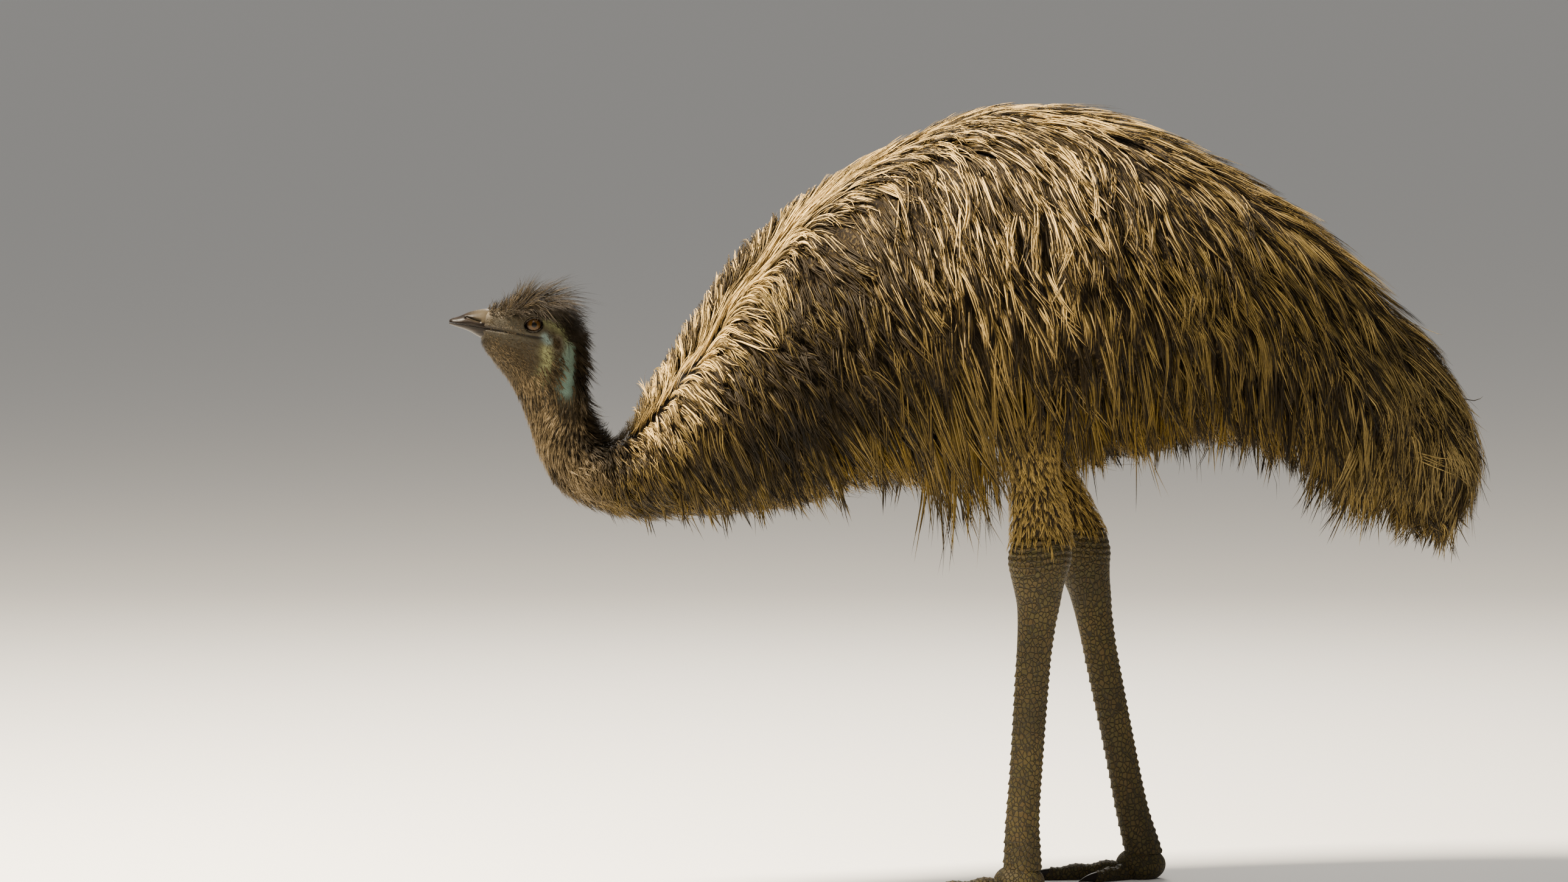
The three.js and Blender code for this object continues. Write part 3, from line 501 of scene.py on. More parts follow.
def bare_top(leg):
    """Where the bare skin of a leg starts, just above its hock."""
    hip, hock = np.array(leg[1]), np.array(leg[2])
    return hock + (hip - hock) * HOCK_TOP / (hip[1] - hock[1])


def limb_point(side, upper, lower, table, share, angle, swell=0):
    """Points of a limb's surface. The table's rows are its half sizes fore and aft and sideways,
    and its shift backwards, at shares of the way down."""
    _, fore, wide, back = curve(table, np.interp(share, table[:, 0], np.arange(len(table)))).T
    x, z, y = (upper[k] + (lower[k] - upper[k]) * share for k in range(3))
    x = x + back + (fore + swell) * np.cos(angle)
    return np.stack([x, side * (y + (wide + swell) * np.sin(angle)), z], axis=-1)


def sawtooth(place):
    return (place - np.floor(place)) ** 2.5


def shank_point(leg, share, angle):
    share = np.clip(share * 1.04 - 0.02, 0, 1)
    front = smooth(0.5, 0.85, -np.cos(angle)) * smooth(0.3, 0.42, share)
    rear = smooth(0.8, 0.97, np.cos(angle)) * smooth(0.12, 0.3, share)
    plates = 2.2 * front * sawtooth(share * SHANK_SCUTES * 1.3)
    knobs = 1.7 * rear * (0.5 - 0.5 * np.cos(share * 2 * math.pi * SHANK_KNOBS)) + 0.6 * rear
    creases = 0.7 * np.cos(share * 330 + 2 * np.sin(angle * 2)) * (1 - smooth(0.03, 0.16, share))
    closed = np.where((share <= 0) | (share >= 1), -14, 0)
    swell = plates + knobs + creases + closed - 0.4
    return limb_point(leg[0], bare_top(leg), leg[3], SHANK, share, angle, swell)


def drumstick_point(leg, share, angle):
    return limb_point(leg[0], leg[1], bare_top(leg), DRUMSTICK, share, angle, -6)


def toe_line(leg, spread):
    """Where a toe starts on the floor, its direction and the direction across it."""
    heading = math.pi - spread * leg[0]
    direction = np.array([math.cos(heading), math.sin(heading), 0])
    across = np.array([-direction[1], direction[0], 0])
    return np.array([leg[3][0] - 2, leg[0] * leg[3][2], 0]), direction, across


def toe_point(leg, spread, length, width, scutes, share, angle):
    root, direction, across = toe_line(leg, spread)
    size = width * (1 - TOE_TAPER * share) * (1 + 0.07 * np.cos(share * math.pi * 6))
    size = size * np.sqrt(np.clip(1.06 - smooth(0.9, 1, share) * 0.75, 0.1, 1))
    radius = size + smooth(0.0, 0.5, np.sin(angle)) * 1.5 * sawtooth(share * scutes)
    reach = TOE_START + (length + 2 - TOE_START) * share
    point = root + direction * reach[:, None] + across * (radius * np.cos(angle))[:, None]
    point[:, 2] = np.maximum(0.84 * size + radius * np.sin(angle), OFF_FLOOR)
    return point


def pad_point(leg, share, angle):
    tilt = (share - 0.5) * math.pi
    x = leg[3][0] + 34 * np.cos(tilt) * np.cos(angle)
    y = leg[0] * leg[3][2] + 30 * np.cos(tilt) * np.sin(angle)
    return np.stack([x, y, np.maximum(19 + 24 * np.sin(tilt), OFF_FLOOR)], axis=-1)


def leg_colour(p):
    return SCALE_BROWN * (1 + 0.18 * ripple(p, 60, 31)[:, None])


def scale_recipe(paint):
    place = paint.add("TexCoord", out=3)
    stretched = paint.add("Mapping", {"Vector": place, "Scale": (1, 1, 0.8)})
    cells = paint.add("TexVoronoi", {"Vector": stretched, "Scale": 190.0}, {"feature": "DISTANCE_TO_EDGE"})
    shade = paint.add("TexVoronoi", {"Vector": stretched, "Scale": 190.0}, out=1)
    wear = place.noise(22.0, 8.0, Roughness=0.7)
    grain = place.noise(900.0, 3.0)
    plate = cells.fade(0.0, 0.16)
    tone = paint.add("Attribute", settings={"attribute_name": "tone"})
    colour = tone.mixed(shade, 0.1, "SOFT_LIGHT")
    colour = colour.mixed((0.08, 0.06, 0.021, 1), wear.fade(0.3, 0.8) * plate * 0.5)
    colour = colour.mixed((0.01, 0.008, 0.004, 1), (1 - plate) * 0.9)
    return colour, 0.5 + wear * 0.3, plate * 0.9 + grain * 0.25


scale_paint = finish("scaled skin", 0.6, scale_recipe, Specular_IOR_Level=0.2)
limbs = []
for number, leg in enumerate(LEGS):
    limbs.append(wrapped(f"thigh {number}", 40, 48, partial(drumstick_point, leg), hidden_shade_colour))
    limbs[-1].data.materials.append(skin.data.materials[0])
    scaled = [wrapped(f"shank {number}", 300, 48, partial(shank_point, leg), leg_colour)]
    scaled.append(wrapped(f"pad {number}", 24, 40, partial(pad_point, leg), leg_colour))
    for toe in TOES:
        scaled.append(wrapped("toe", 90, 28, partial(toe_point, leg, *toe), leg_colour))
    for part in scaled:
        part.data.materials.append(scale_paint)
    limbs += scaled

bpy.ops.object.select_all(action="DESELECT")
for part in (*limbs, skin):
    part.select_set(True)
bpy.context.view_layer.objects.active = skin
bpy.ops.object.join()
bpy.ops.object.select_all(action="DESELECT")
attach(skin, "root")
FLESH = ["head", "neck_upper", "neck_lower", "torso", "tail"]
for word in ("left", "right"):
    FLESH += [f"{part}_{word}" for part in ("drumstick", "shank", "toe_middle", "toe_inner", "toe_outer")]
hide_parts(*FLESH)

# Horn: the bill is a broad low sheath with a hooked tip, parted along the mouth, and each toe ends
# in a blunt claw. Both are dark and worn smooth.

# Slices of the bill: the share of its length behind the tip, top, underside and half width.
BILL = np.array(
    [
        (1.2, 771, 735, 17), (1, 773, 737, 18.6), (0.62, 770, 745.5, 15.5),
        (0.3, 764.5, 750, 11.5), (0.08, 762, 753, 7.5), (0, 760, 754.5, 3.6),
    ]
)
BILL_LENGTH = 47
BILL_ROOT = -731
BILL_SLANT = -7
NOSTRIL = (-749, 761)
CLAW_LENGTH = 34


def bill_point(share, angle):
    behind, top, low, half = curve(BILL, np.clip(share * 1.04 - 0.02, 0, 1) * (len(BILL) - 1)).T
    shut = np.where((share <= 0.001) | (share >= 0.999), 0.25, 1)
    c, s = np.cos(angle), np.sin(angle)
    keel = 1.0 * bump(angle, 0, 0.35) * np.minimum(behind * 2, 1)
    height = ((top - low) / 2 * c + keel) * shut
    x = BILL_ROOT - BILL_LENGTH * (1 - behind) + BILL_SLANT * behind * (1 - c) / 2
    y = half * np.sign(s) * np.abs(s) ** 0.9 * shut
    z = (top + low) / 2 + height
    slit = near_line(x, z, [(NOSTRIL[0] - 8, NOSTRIL[1] + 2.2), (NOSTRIL[0] + 9, NOSTRIL[1] - 2.4)])
    groove = near_line(x, z, [(-775, 757.8), (-752, 756.5), (-730, 750)])
    y = y - np.sign(s) * (3.6 * bump(slit, 0, 1.7) - 0.5 * bump(groove, 0, 1.6)) * (np.abs(s) > 0.2)
    return np.stack([x, y, z], axis=-1)


def claw_point(leg, spread, length, width, share, angle):
    root, direction, across = toe_line(leg, spread)
    thick = width * (1 - TOE_TAPER) * 0.86
    t = np.clip(share * 1.1 - 0.1, 0, 1)
    radius = thick * (1 - 0.9 * t**1.5) * np.where(share <= 0.001, 0.3, 1)
    height = thick * (1 - 0.62 * t * t) + 0.4 + radius * np.sin(angle)
    reach = length - 6 + CLAW_LENGTH * share
    point = root + direction * reach[:, None] + across * (0.8 * radius * np.cos(angle))[:, None]
    point[:, 2] = np.maximum(height, 2 * OFF_FLOOR)
    return point


def horn_recipe(paint):
    place = paint.add("TexCoord", out=3)
    streaks = paint.add("Mapping", {"Vector": place, "Scale": (1, 1, 6)})
    fibres = streaks.noise(70.0, 5.0)
    chips = place.noise(400.0, 4.0)
    base = fibres.ramp((0.3, (0.003, 0.0022, 0.0018)), (0.75, (0.012, 0.008, 0.0055)))
    colour = base.mixed((0.07, 0.05, 0.03, 1), chips.fade(0.62, 0.8) * 0.15)
    x, z = place.across()
    above = over_mouth(x, z) + fibres * 0.004
    root = x.fade(-0.76 + SHIFT_X, -0.735 + SHIFT_X) * z.fade(0.5, 0.6)
    colour = colour.mixed((0.042, 0.033, 0.02, 1), above.fade(0.0075, 0.0105) * root * 0.85)
    return colour, 0.25 + chips * 0.3, fibres * 0.3 + chips * 0.15


horn_paint = finish("dark horn", 0.35, horn_recipe, Specular_IOR_Level=0.1)


def horn(piece, *nodes):
    piece.data.materials.append(horn_paint)
    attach(piece, "root")
    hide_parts(*nodes)


MOUTH_PARTING = 0.35
for word, above in (("upper", 1), ("lower", -1)):
    half = wrapped("bill_horn_" + word, 90, 96, bill_point)
    bpy.ops.object.mode_set(mode="EDIT")
    bpy.ops.mesh.select_all(action="SELECT")
    bpy.ops.mesh.bisect(
        plane_co=placed([BILL_TIP[0], 0, BILL_TIP[1] + above * MOUTH_PARTING]),
        plane_no=Vector((MOUTH_SLOPE, 0, 1)) * -above,
        clear_outer=True,
        use_fill=True,
    )
    bpy.ops.object.mode_set(mode="OBJECT")
    bpy.ops.object.shade_smooth_by_angle(angle=math.radians(50))
    horn(half, "bill_" + word)

for leg, word in zip(LEGS, ("left", "right")):
    for (*size, _), toe in zip(TOES, ("middle", "inner", "outer")):
        name = f"{toe}_{word}"
        horn(wrapped("claw_horn_" + name, 24, 24, partial(claw_point, leg, *size)), "claw_" + name)


# Eyes: glossy balls with a round dark pupil in an amber iris, a dark rim behind it, and thick dark
# wrinkled lids that hug them.
EYE_RADIUS = 13.4
IRIS, PUPIL = 9.2, 3.5
LID_FOLDS = 14


def eye_recipe(paint):
    place = paint.add("TexCoord", out=3)
    x, z = place.across()
    dx = x - (EYE[0] * MM + SHIFT_X)
    dz = z - (EYE[2] * MM + SHIFT_Z)
    reach = (dx * dx + dz * dz) ** 0.5 * (1 / MM)
    angle = dz.math("ARCTAN2", dx)
    spokes = paint.add("TexNoise", {"W": angle * 9.0, "Detail": 4.0}, {"noise_dimensions": "1D"})
    amber = spokes.ramp((0.3, (0.02, 0.009, 0.002)), (0.75, (0.06, 0.03, 0.005)))
    colour = amber.mixed((0.014, 0.007, 0.003, 1), reach.fade(IRIS - 3.4, IRIS - 0.4))
    colour = colour.mixed((0.004, 0.003, 0.003, 1), reach.fade(IRIS - 0.5, IRIS + 0.3))
    colour = colour.mixed((0.003, 0.003, 0.003, 1), 1 - reach.fade(PUPIL - 0.2, PUPIL + 0.2))
    return colour, None, None


eye_paint = finish(
    "wet eye", 0.05, eye_recipe, Specular_IOR_Level=0.1, Coat_Weight=0.12, Coat_Roughness=0.02
)


def lid_recipe(paint):
    folds = paint.add("TexCoord", out=3).noise(330.0, 4.0)
    colour = folds.ramp((0.35, (0.01, 0.008, 0.006)), (0.75, (0.04, 0.032, 0.024)))
    return colour, 0.5 + folds * 0.2, folds * 0.6


lid_paint = finish("lid skin", 0.55, lid_recipe, Specular_IOR_Level=0.2)


def lid_point(side, share, angle):
    around = share * 2 * math.pi
    out = 1.9 + 3.6 * np.cos(angle)
    corner = 1 + 0.1 * np.abs(np.cos(around)) ** 6
    dx = (LID_OPENING[0] * corner + out) * np.cos(around)
    dz = (LID_OPENING[1] + out * 0.9) * np.sin(around)
    ball = EYE_RADIUS**2 - dx**2 - dz**2
    depth = np.sqrt(np.maximum(ball, 4)) + np.where(ball < 4, (ball - 4) * 0.03, 0)
    fold = 1 + 0.25 * np.sin(around * LID_FOLDS)
    y = EYE[1] + depth + 0.4 + (0.5 + 0.5 * np.sin(angle)) * 2.3 * fold
    return np.stack([EYE[0] + dx, side * y, EYE[2] + dz + 0.1 * dx], axis=-1)


for side, word in ((-1, "left"), (1, "right")):
    bpy.ops.mesh.primitive_uv_sphere_add(
        segments=64, ring_count=40, radius=EYE_RADIUS * MM, location=placed(EYE * [1, side, 1])
    )
    ball = bpy.context.object
    ball.name = "eyeball_" + word
    bpy.ops.object.transform_apply(location=True)
    bpy.ops.object.shade_smooth()
    ball.data.materials.append(eye_paint)
    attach(ball, "root")
    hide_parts("eye_" + word)
    lid = wrapped("lid_" + word, 96, 16, partial(lid_point, side))
    lid.data.materials.append(lid_paint)
    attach(lid, "root")

# Plumage: long double feathers whose loose barbs cling in pointed strands. Each clump of strands
# follows one path from its root over the body, arcs away from the parting, and hangs free where
# the body turns under. The strands are flat solid blades, joined into a few pieces.
rng = np.random.default_rng(3)

# A slice, the angles from tailwards in which the coat lies beside the parting, on the flank and
# on the belly, and the turn at which it has arched over.
LIE = np.array(
    [
        (0, 0, 6, 0, 1.2), (UPPER_NECK, 4, 12, 0, 1.2), (11, 8, 30, 0, 0.8),
        (NECK_ROOT, 6, 54, 10, 0.34), (13.5, 4, 74, 46, 0.28), (15, 4, 77, 60, 0.32),
        (16, 6, 77, 64, 0.46), (17, 8, 78, 70, 0.72), (18.2, 8, 80, 78, 1.0),
        (20, 6, 68, 75, 1.25), (TAIL_ROOT, 4, 46, 40, 1.3), (LAST, 0, 20, 10, 1.3),
    ]
)
# How far the parting has wandered, as a turn, at some of the slices.
PARTING_AT = [10.2, 11, 12, 13, 14, 15, 15.5, 16, 16.6, 17.4]
PARTING_TURN = [0, -0.4, -0.7, -0.84, -0.72, -0.58, -0.45, -0.28, -0.1, 0]
# Where the fringe hangs lower, as the x and reach of each tuft and how much lower it hangs; how
# much higher the tail's end hangs; and the gap over the thighs, from x to x, and its height.
TUFTS = [(-110, 50, 132), (300, 60, 26)]
TAIL_RISE = 34
THIGH_GAP = (-74, -14, 614)


def lie_of_coat(u, turn):
    """The angle from tailwards towards the belly in which the coat lies. It runs along the
    parting at first, and arches over from there."""
    top, flank, under, arch = (np.interp(u, LIE[:, 0], LIE[:, k]) for k in (1, 2, 3, 4))
    low = smooth(1.9, 2.7, turn)
    side = smooth(0.0, arch, turn) - low
    return np.radians(top * (1 - side - low) + flank * side + under * low)


def fall(u):
    """The direction in which loose strands hang: tailwards in front, and inwards on the tail."""
    lean = np.interp(u, [13, 16.5, 18.5, 22, 24], [0.55, 0.42, 0.14, 0.02, -0.3])
    return unit(np.stack([lean, np.zeros_like(u), -np.ones_like(u)], axis=-1))


def over_legs(x):
    """1 where the fringe is cut short over the legs, 0 before and behind them."""
    front, rear, _ = THIGH_GAP
    return smooth(front - 14, front + 8, x) * (1 - smooth(rear - 10, rear + 24, x))


def fringe_height(u):
    """How low the hanging strands reach."""
    x, _, z = np.moveaxis(outline(u, np.full_like(u, math.pi)), -1, 0)
    z = z - sum(low * bump(x, place, reach) for place, reach, low in TUFTS)
    z = z + TAIL_RISE * smooth(TAIL_ROOT, 23.6, u)
    return z + np.maximum(THIGH_GAP[2] - z, 0) * over_legs(x)


def parted(u, turn):
    """The turn on the body of a turn from the parting, which wanders to the left on the mantle."""
    wander = np.interp(u, PARTING_AT, PARTING_TURN) * (1 + 0.04 * np.sin(5.1 * u))
    return turn + wander * (1 + np.cos(turn)) / 2


def even_pairs(count):
    """Pairs of numbers that fill the square from 0 to 1 evenly."""
    number = np.arange(count) + 0.5
    return (number * 0.7548776662) % 1, (number * 0.5698402910) % 1


def scatter(count, u_range, turn_range, density):
    """Roots on both sides, spread evenly over the body's surface, or as density(u, turn) says.
    Turns are from the parting."""
    cells_u, cells_t = 240, 80
    u = np.linspace(*u_range, cells_u + 1)
    turn = np.linspace(*turn_range, cells_t + 1)
    uu, tt = np.meshgrid((u[1:] + u[:-1]) / 2, (turn[1:] + turn[:-1]) / 2, indexing="ij")
    tailward, round_it, _ = directions(uu, tt)
    weight = np.linalg.norm(np.cross(tailward, round_it), axis=-1)
    if density is not None:
        weight = weight * density(uu, tt)
    first, second = even_pairs(count)
    side = np.where(second < 0.5, -1, 1)
    second = second * 2 % 1
    rows = np.concatenate([[0], np.cumsum(weight.sum(axis=1))])
    place = np.interp(first * rows[-1], rows, np.arange(cells_u + 1))
    row = np.minimum(place.astype(int), cells_u - 1)
    columns = np.concatenate([np.zeros((cells_u, 1)), np.cumsum(weight, axis=1)], axis=1)
    target = second * columns[row, -1]
    column = np.minimum((columns[row] <= target[:, None]).sum(axis=1) - 1, cells_t - 1)
    low, high = columns[row, column], columns[row, column + 1]
    across = column + (target - low) / np.maximum(high - low, 1e-9)
    root_u = u[0] + place / cells_u * (u[-1] - u[0])
    return root_u, (turn[0] + across / cells_t * (turn[-1] - turn[0])) * side


def combed(u, turn, length, swerve, bend, depth, hangs, tuck, steps=8):
    """Paths over the body from their roots. swerve turns each out of the coat's lie, bend curves
    it, and depth(s, u, turn) is how far under the outline it lies at its share s. Where the body
    turns under, it falls free, down to tuck millimetres below the fringe. Returns points, normals
    and headings, each (paths, steps + 1, 3)."""
    u, turn = u.copy(), turn.copy()
    ds = length / steps
    points, normals, headings = [], [], []
    fallen = np.zeros(len(u), bool)
    speed = np.ones(len(u))
    sway = rng.normal(0, 0.2, (len(u), 3)) * [1, 0.7, 0]
    for i in range(steps + 1):
        on_body = parted(u, turn)
        tailward, round_it, normal = directions(u, on_body)
        side = np.sign(turn)
        down = unit(round_it * side[:, None])
        along_body = tailward - down * dot(tailward, down)[:, None]
        pace = np.linalg.norm(along_body, axis=-1)
        slope = lie_of_coat(u, np.abs(turn)) + swerve + bend * (i / steps - 0.3)
        heading = unit(along_body) * np.cos(slope)[:, None] + down * np.sin(slope)[:, None]
        here = outline(u, on_body) - normal * depth(i / steps, u, turn)[:, None]
        if i and hangs:
            starts = ((normal[:, 2] < -0.12) & (heading[:, 2] < -0.35) | (u > LAST - 0.4)) & ~fallen
            room = points[-1][:, 2] - fringe_height(u) + tuck
            left = np.maximum(ds * (steps - i + 1), 1)
            speed = np.where(starts, np.clip(room / left, 0.15, 1), speed)
            fallen |= starts
            sinking = unit(headings[-1] * 0.6 + (fall(u) + sway) * 0.4)
            heading = np.where(fallen[:, None], sinking, heading)
            normal = np.where(fallen[:, None], normals[-1], normal)
            here = np.where(fallen[:, None], points[-1] + heading * (ds * speed)[:, None], here)
        points.append(here)
        normals.append(normal)
        headings.append(heading)
        du = np.cos(slope) * ds / pace
        dturn = side * (np.sin(slope) * ds - dot(tailward, down) * du) / np.linalg.norm(round_it, axis=-1)
        u = np.clip(u + du, 0, LAST - 0.02)
        turn = side * np.clip(np.abs(turn + dturn), 0.02, math.pi - 0.02)
    return tuple(np.stack(rows, axis=1) for rows in (points, normals, headings))


def sampled(rows, share):
    """Rows of paths (paths, stops, 3) at other shares (paths, strands, new stops)."""
    stops = rows.shape[1] - 1
    place = np.clip(share, 0, 1) * stops
    i = np.minimum(place.astype(int), stops - 1)
    t = (place - i)[..., None]
    each = np.arange(len(rows))[:, None, None]
    return rows[each, i] * (1 - t) + rows[each, i + 1] * t


THICKNESS = 0.42
BACK_SHARE = 0.65
ROOT_PATCH = 0.003


def blades(name, points, normals, widths, tones, roots, slot):
    """One piece of pointed solid blades, three-sided and flat: as thick as THICKNESS of their
    half width, of which BACK_SHARE is over their path. points, normals and tones are (blades,
    stops, 3), widths (blades, stops) in millimetres, and roots (blades, 2) the place of each root
    on the unwrapped skin, from 0 to 1, where each blade has a patch of its own."""
    count, stops = points.shape[:2]
    heading = unit(np.gradient(points, axis=1))
    across = unit(np.cross(heading, normals))
    wide = across * widths[..., None]
    high = np.cross(across, heading) * widths[..., None] * THICKNESS
    low = points - high * (1 - BACK_SHARE)
    rings = np.stack([low - wide, low + wide, points + high * BACK_SHARE], axis=2)
    co = np.concatenate([rings[:, :-1].reshape(count, -1, 3), points[:, -1:]], axis=1)
    per = co.shape[1]
    edges = ((0, 1), (1, 2), (2, 0))
    quads = [
        (3 * j + a, 3 * j + 3 + a, 3 * j + 3 + b, 3 * j + b) for j in range(stops - 2) for a, b in edges
    ]
    tris = [(0, 1, 2)] + [(3 * (stops - 2) + a, per - 1, 3 * (stops - 2) + b) for a, b in edges]
    pattern = np.concatenate([np.array(quads).ravel(), np.array(tris).ravel()])
    sizes = np.array([4] * len(quads) + [3] * len(tris))
    loops = (pattern[None, :] + per * np.arange(count)[:, None]).ravel()
    starts = np.concatenate([[0], np.cumsum(np.tile(sizes, count))[:-1]])
    mesh = bpy.data.meshes.new(name)
    mesh.vertices.add(count * per)
    mesh.vertices.foreach_set("co", placed(co).ravel())
    mesh.loops.add(len(loops))
    mesh.loops.foreach_set("vertex_index", loops.astype(np.int32))
    mesh.polygons.add(len(starts))
    mesh.polygons.foreach_set("loop_start", starts.astype(np.int32))
    mesh.polygons.foreach_set("use_smooth", np.ones(len(starts), bool))
    mesh.update(calc_edges=True)
    share = np.concatenate([np.repeat(np.linspace(0, 1, stops)[:-1], 3), [1]])
    sideways = np.concatenate([np.tile([0, 1, 0.5], stops - 1), [0.5]])
    uv = roots[:, None, :] + np.stack([sideways, share], axis=-1)[None] * ROOT_PATCH
    layer = mesh.uv_layers.new(name="OFBake")
    layer.data.foreach_set("uv", uv.reshape(-1, 2)[loops].ravel())
    obj = bpy.data.objects.new(name, mesh)
    bpy.context.collection.objects.link(obj)
    tone = np.concatenate([np.repeat(tones[:, :-1], 3, axis=1), tones[:, -1:]], axis=1)
    paint_vertices(obj, tone.reshape(-1, 3))
    mesh.materials.append(feather_paint)
    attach(obj, "root")


def strand_recipe(paint):
    tone = paint.add("Attribute", settings={"attribute_name": "tone"})
    grain = paint.add("TexCoord", out=3).noise(300.0, 3.0)
    dull = tone.mixed((0.02, 0.014, 0.01, 1), grain.fade(0.45, 0.7) * 0.35)
    return dull, 0.42 + grain * 0.25, grain * 0.4


feather_paint = finish("feather strands", 0.5, strand_recipe, Specular_IOR_Level=0.13)

CREAM = np.array([0.98, 0.66, 0.22])
TAN = np.array([0.165, 0.114, 0.03])
DARK = np.array([0.012, 0.0075, 0.0018])
GOLD = np.array([0.18, 0.11, 0.006])
REAR_GREY = np.array([0.06, 0.054, 0.034])
# How far from the parting the cream feathers reach, as a turn, at some of the slices: partly
# the plumage's own pale colour and partly painted sunlight on the top.
LIT_PALE_AT = [11, 12.5, 14, 15, 16, 17, 18, 19, 20, 22]
LIT_PALE_REACH = [0.4, 0.5, 0.32, 0.28, 0.42, 1.2, 1.45, 1.1, 0.6, 0.4]


def shaded_strand(base, middle, tip, share):
    """Colours down a strand from its base, hidden under others, to its tip. Callers give the base a
    darker colour as painted shade.
    """
    s = share[..., None]
    tone = base + (middle - base) * np.clip(s / 0.35, 0, 1)
    return tone + (tip - tone) * smooth(0.5, 0.85, s)


def feather_tones(u, turn, root, share, tint, chance):
    """Plumage: cream and brown over the mantle and back, the cream partly the plumage's own colour
    and partly painted sunlight on the top, with dark strands among it as painted shadow between
    the locks; dark brown with tan streaks and dark tips on the flanks; painted shade on the
    shoulders behind the neck's base; golden brown along the fringe; and greyer on the tail. The
    strands' bases are darkened as painted shade under the others. tint tells a strand from its
    neighbours, from 0 for the darkest, and chance is another random number of its own. root is
    where it grows."""
    patch = ripple(root, 150, 11) * 0.5 + ripple(root, 40, 12) * 0.5
    side = np.abs(turn)
    reach = np.interp(u, LIT_PALE_AT, LIT_PALE_REACH)
    # light is partly the plumage's own paleness and partly painted sunlight: 1 over the top by the parting,
    # falling away down the sides and towards the rump. It turns strands cream and lifts the dark ones too.
    light = 1 - smooth(0.65 * reach - 0.05, 1.4 * reach + 0.1, side + 0.3 * patch)
    light = light * (1 - 0.5 * smooth(18.2, 19.6, u) - 0.3 * smooth(20, 22, u)) * (1 + 0.2 * patch)
    light = np.clip(light, 0, 1)[..., None]
    pale = TAN + (CREAM - TAN) * light**1.5
    gold = (smooth(1.8, 2.4, side) * (0.3 + 0.7 * chance) * (1 - 0.4 * smooth(20.5, 22, u)))[..., None]
    pale = pale + (GOLD - pale) * gold
    deep = DARK * (1 + 0.9 * light**2)
    # Painted shade on the shoulders behind the neck's base: there the cream is dimmer and more strands stay
    # dark.
    shade = bump(u, 14.9, 1.9) * smooth(0.25, 0.5, side) * (1 - smooth(1.5, 2.0, side))
    rear = smooth(20.5, 22.5, u)
    pale = pale * (0.6 + 0.55 * chance - 0.45 * shade - 0.1 * (1 - smooth(11, 12, u)))[..., None]
    pale = pale + REAR_GREY * rear[..., None] * chance[..., None]
    # Painted shadow between the locks: where the top is lit more strands stay dark among the cream, more
    # again on the shaded shoulders, and fewer on the lit top of the back, as painted light.
    start = 0.4 + 0.15 * light + (0.17 * shade - 0.08 * bump(u, 17, 1.2))[..., None]
    value = smooth(start, start + 0.21, tint[..., None] + 0.1 * patch[..., None])
    value = np.maximum(value, 0.6 * (bump(turn, 0, 0.07) * (1 - smooth(16, 17.5, u)))[..., None])
    middle = (deep + (pale - deep) * value) * (1 + 0.3 * rear)[..., None]
    start = 0.7 - 0.5 * smooth(17.5, 19, u)
    tipped = smooth(0.42, 0.56, chance + 0.3 * ripple(root, 30, 16))
    dark_tip = 0.1 + 0.85 * smooth(start, start + 0.4, side) * tipped
    # Painted shade: the bases lie darker under the other strands, except near the parting, where the roots
    # show as pale as the strand.
    base = deep + (middle - deep) * 0.8 * bump(turn, 0, 0.3)[..., None]
    return shaded_strand(base, middle, middle * (1 - dark_tip[..., None]), share)


def strands(points, normals, headings, each, radius, width, loose, stops, late=0.3):
    """Strands that start round each path, at up to the share late of it, and close up to a point
    along it. loose is how far they stray from it, and stops are the shares of a strand that get
    points. Returns points and normals, half widths, shares of the path, and how high each strand
    lies in its clump, with a row for each."""
    clumps = len(points)
    across = unit(np.cross(headings, normals))
    start = rng.uniform(0, late, (clumps, each))
    end = 1 - rng.uniform(0, 0.22, (clumps, each))
    share = start[..., None] + (end - start)[..., None] * stops
    p, n, a = (sampled(rows, share) for rows in (points, normals, across))
    spread = radius * (0.16 + (1 - share) ** 0.7 * 0.95)
    offset = rng.normal(0, 0.65, (clumps, each))
    sink = rng.uniform(-0.9, 0.3, (clumps, each))
    stray = 1 + 1.6 * (rng.uniform(size=(clumps, each, 1)) > 0.95)
    curl = rng.normal(0, loose, (clumps, each, 1)) * stray * share**2 * radius * 2.4
    wave = np.sin(share * rng.uniform(3, 8, (clumps, each, 1)) + rng.uniform(0, 6, (clumps, each, 1)))
    p = p + a * (offset[..., None] * spread + curl + wave * radius * 0.2)[..., None]
    p = p + n * (sink[..., None] * radius * (1 - share * 0.6) + np.abs(curl) * 0.25)[..., None]
    flat = (clumps * each, len(stops))
    taper = np.interp(stops, [0, 0.3, 0.62, 0.86, 1], [0.5, 1, 0.8, 0.45, 0])
    half_width = width * rng.uniform(0.55, 1.45, (clumps * each, 1)) * taper
    height = (sink.ravel() + 0.9) / 1.2
    return p.reshape(*flat, 3), n.reshape(*flat, 3), half_width, share.reshape(flat), height


STRAND_STOPS = np.array([0, 0.3, 0.62, 0.86, 1])
LONG_STOPS = np.array([0, 0.2, 0.42, 0.65, 0.86, 1])
HAIR_STOPS = np.array([0, 0.4, 0.75, 1])
BRISTLE_STOPS = np.array([0, 0.5, 1])


